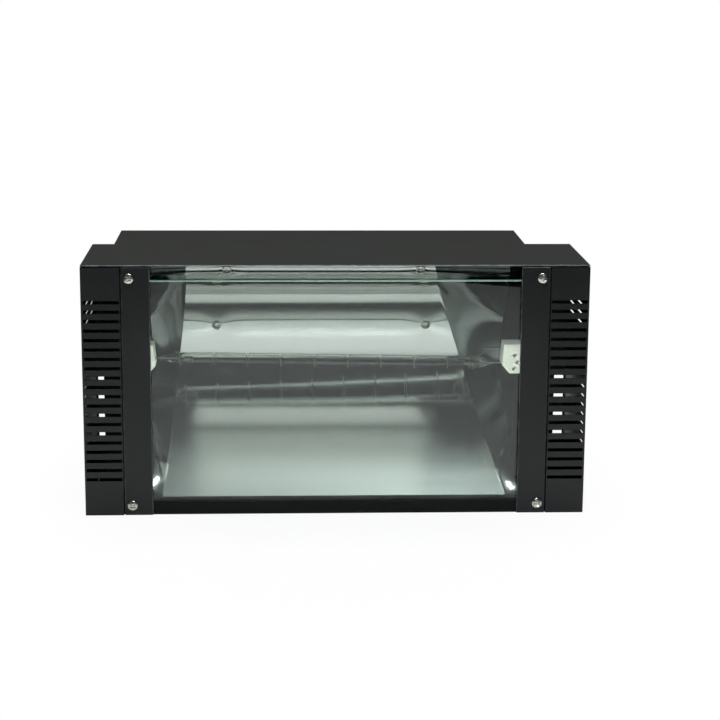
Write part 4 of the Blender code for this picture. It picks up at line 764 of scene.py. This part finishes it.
varnish, tree, shader, place = surface("varnished_winding")
bands = {"Vector": place, "Scale": 1 / 0.0025, "Distortion": 0.6}
turns = add(tree, "ShaderNodeTexWave", bands, bands_direction="Z")
shades = ((0.2, "#6b3a12"), (0.8, "#9a5a1e"))
tint = add(tree, "ShaderNodeValToRGB", {"Fac": turns.outputs["Fac"]}, stops=shades)
tree.links.new(tint.outputs["Color"], shader.inputs["Base Color"])
shader.inputs["Roughness"].default_value = 0.3
coat([eased("trigger_transformer", 0.0008)], varnish)


# Studio: a white table and a white ground seen behind it, soft boxes overhead, and a dim room in front, which
# is what the mirror shows. The camera stands 1.7 m in front and looks down by 12.5 degrees.

TABLE_HALF_WIDTH = 0.45
TABLE_FRONT, TABLE_BACK = -1.35, 1.3
TABLE_SLANT = 0.5
TABLE_TOP = -0.0006
SOFT_BOXES = (
    ("soft_box_key", (0.08, -0.42, 1.20), (0.0, -0.22, 0.0), (0.50, 0.20), 8.0, "#f4fbff"),
    ("soft_box_overhead", (0.0, 0.35, 1.60), (0.0, -0.25, 0.0), (1.0, 0.35), 10.0, "#fbfff9"),
)
BEAM_POWER = 38.0
BEAM_SPREAD = math.radians(2.6)
BEAM_ASIDE, BEAM_AHEAD, BEAM_HEIGHT = 0.35, -1.10, 0.72
PITCH, YAW, ROLL = (math.radians(angle) for angle in (12.47, 2.64, 0.39))
CAMERA_PLACE = (-0.052, -1.676, 0.483)
LENS = 94.4

scene = bpy.context.scene
scene.view_settings.view_transform = "Standard"

world = bpy.data.worlds.new("studio")
scene.world = world
world.use_nodes = True
tree = world.node_tree
back = tree.nodes["Background"]
ray = add(tree, "ShaderNodeSeparateXYZ", {"Vector": add(tree, "ShaderNodeTexCoord").outputs["Generated"]})
shades = ((0.80, "#15191c"), (0.88, "#c3cbc6"))
ceiling = add(tree, "ShaderNodeValToRGB", {"Fac": ray.outputs["Z"]}, stops=shades)
shades = ((0.35, "#000000"), (0.75, "#5c5d58"))
behind = add(tree, "ShaderNodeValToRGB", {"Fac": ray.outputs["Y"]}, stops=shades)
parts = {"Fac": 1.0, "Color1": ceiling.outputs["Color"], "Color2": behind.outputs["Color"]}
walls = add(tree, "ShaderNodeMixRGB", parts, blend_type="LIGHTEN")
room = add(tree, "ShaderNodeBackground", {"Color": walls.outputs["Color"], "Strength": 1.0})
back.inputs["Color"].default_value = (1.0, 1.0, 1.0, 1.0)
seen = add(tree, "ShaderNodeLightPath").outputs["Is Camera Ray"]
parts = {0: seen, 1: room.outputs["Background"], 2: back.outputs["Background"]}
both = add(tree, "ShaderNodeMixShader", parts)
tree.links.new(both.outputs["Shader"], tree.nodes["World Output"].inputs["Surface"])

sides = (-TABLE_HALF_WIDTH, TABLE_HALF_WIDTH)
corner_x, corner_y = np.meshgrid(sides, (TABLE_FRONT, TABLE_BACK), indexing="ij")
corner_y = corner_y + TABLE_SLANT * corner_x * (corner_y < 0)
table_points = np.stack([corner_x, corner_y, np.full((2, 2), TABLE_TOP)], axis=2)
table = grid_piece("table", table_points[:, ::-1])
paper, tree, shader, place = surface("white_table")
fibre = add(tree, "ShaderNodeTexNoise", {"Vector": place, "Scale": 1 / 0.02, "Detail": 2.0})
shades = ((0.3, "#eeefed"), (0.7, "#f4f5f3"))
tint = add(tree, "ShaderNodeValToRGB", {"Fac": fibre.outputs["Fac"]}, stops=shades)
tree.links.new(tint.outputs["Color"], shader.inputs["Base Color"])
shader.inputs["Roughness"].default_value = 0.8
white = add(tree, "ShaderNodeEmission", {"Color": (1.0, 1.0, 1.0, 1.0), "Strength": 1.0})
seen = add(tree, "ShaderNodeLightPath").outputs["Is Camera Ray"]
narrow = add(tree, "ShaderNodeVectorMath", {0: place, 1: (1.5, 1.0, 1.0)}, operation="MULTIPLY")
away = add(tree, "ShaderNodeVectorMath", {0: narrow.outputs["Vector"]}, operation="LENGTH")
ramp = {"Value": away.outputs["Value"], "From Min": 0.2, "From Max": 0.42, "To Min": 0.90, "To Max": 1.0}
fade = add(tree, "ShaderNodeMapRange", ramp)
part_seen = add(tree, "ShaderNodeMath", {0: seen, 1: fade.outputs["Result"]}, operation="MULTIPLY")
parts = {0: part_seen.outputs["Value"], 1: shader.outputs["BSDF"], 2: white.outputs["Emission"]}
both = add(tree, "ShaderNodeMixShader", parts)
tree.links.new(both.outputs["Shader"], tree.nodes["Material Output"].inputs["Surface"])
table.data.materials.append(paper)


def placed(name, data, place, right, up, ahead):
    """Puts a lamp or camera at a place, looking ahead, with its right and up directions."""
    holder = bpy.data.objects.new(name, data)
    grid = np.eye(4)
    grid[:3] = np.stack([right, up, -ahead, place], axis=1)
    holder.matrix_world = Matrix(grid.tolist())
    scene.collection.objects.link(holder)
    return holder


def aimed(name, data, place, aim, upward):
    """Puts a lamp at a place, facing a point, with its first side square to the upward direction."""
    ahead = np.array(aim) - place
    ahead = ahead / np.linalg.norm(ahead)
    right = np.cross(ahead, upward)
    right /= np.linalg.norm(right)
    return placed(name, data, place, right, np.cross(right, ahead), ahead)


for name, place, aim, size, power, colour in SOFT_BOXES:
    light = bpy.data.lights.new(name, "AREA")
    light.shape = "RECTANGLE"
    light.size, light.size_y = size
    light.energy = power
    light.color = linear(colour)[:3]
    aimed(name, light, place, aim, (0.0, 0.01, 1.0))

# Two narrow beams reach in through the glass to the sockets, which the cover would leave in shade.
for side in (-1, 1):
    beam = bpy.data.lights.new("beam", "SPOT")
    beam.energy = BEAM_POWER
    beam.spot_size = BEAM_SPREAD
    beam.spot_blend = 0.6
    beam.shadow_soft_size = 0.02
    aim = (LAMP_X + side * 0.1600, FRONT + 0.044, 0.1270)
    holder = aimed("beam", beam, (-BEAM_ASIDE * side, BEAM_AHEAD, BEAM_HEIGHT), aim, (0.0, 0.0, 1.0))
    holder.visible_glossy = False

ahead = np.array((math.cos(PITCH) * math.sin(YAW), math.cos(PITCH) * math.cos(YAW), -math.sin(PITCH)))
level = np.array((math.cos(YAW), -math.sin(YAW), 0.0))
upright = np.cross(level, ahead)
right = math.cos(ROLL) * level + math.sin(ROLL) * upright
up = math.cos(ROLL) * upright - math.sin(ROLL) * level
camera = bpy.data.cameras.new("camera")
camera.sensor_width = 36.0
camera.lens = LENS
camera.clip_start = 0.01
scene.camera = placed("camera", camera, CAMERA_PLACE, right, up, ahead)
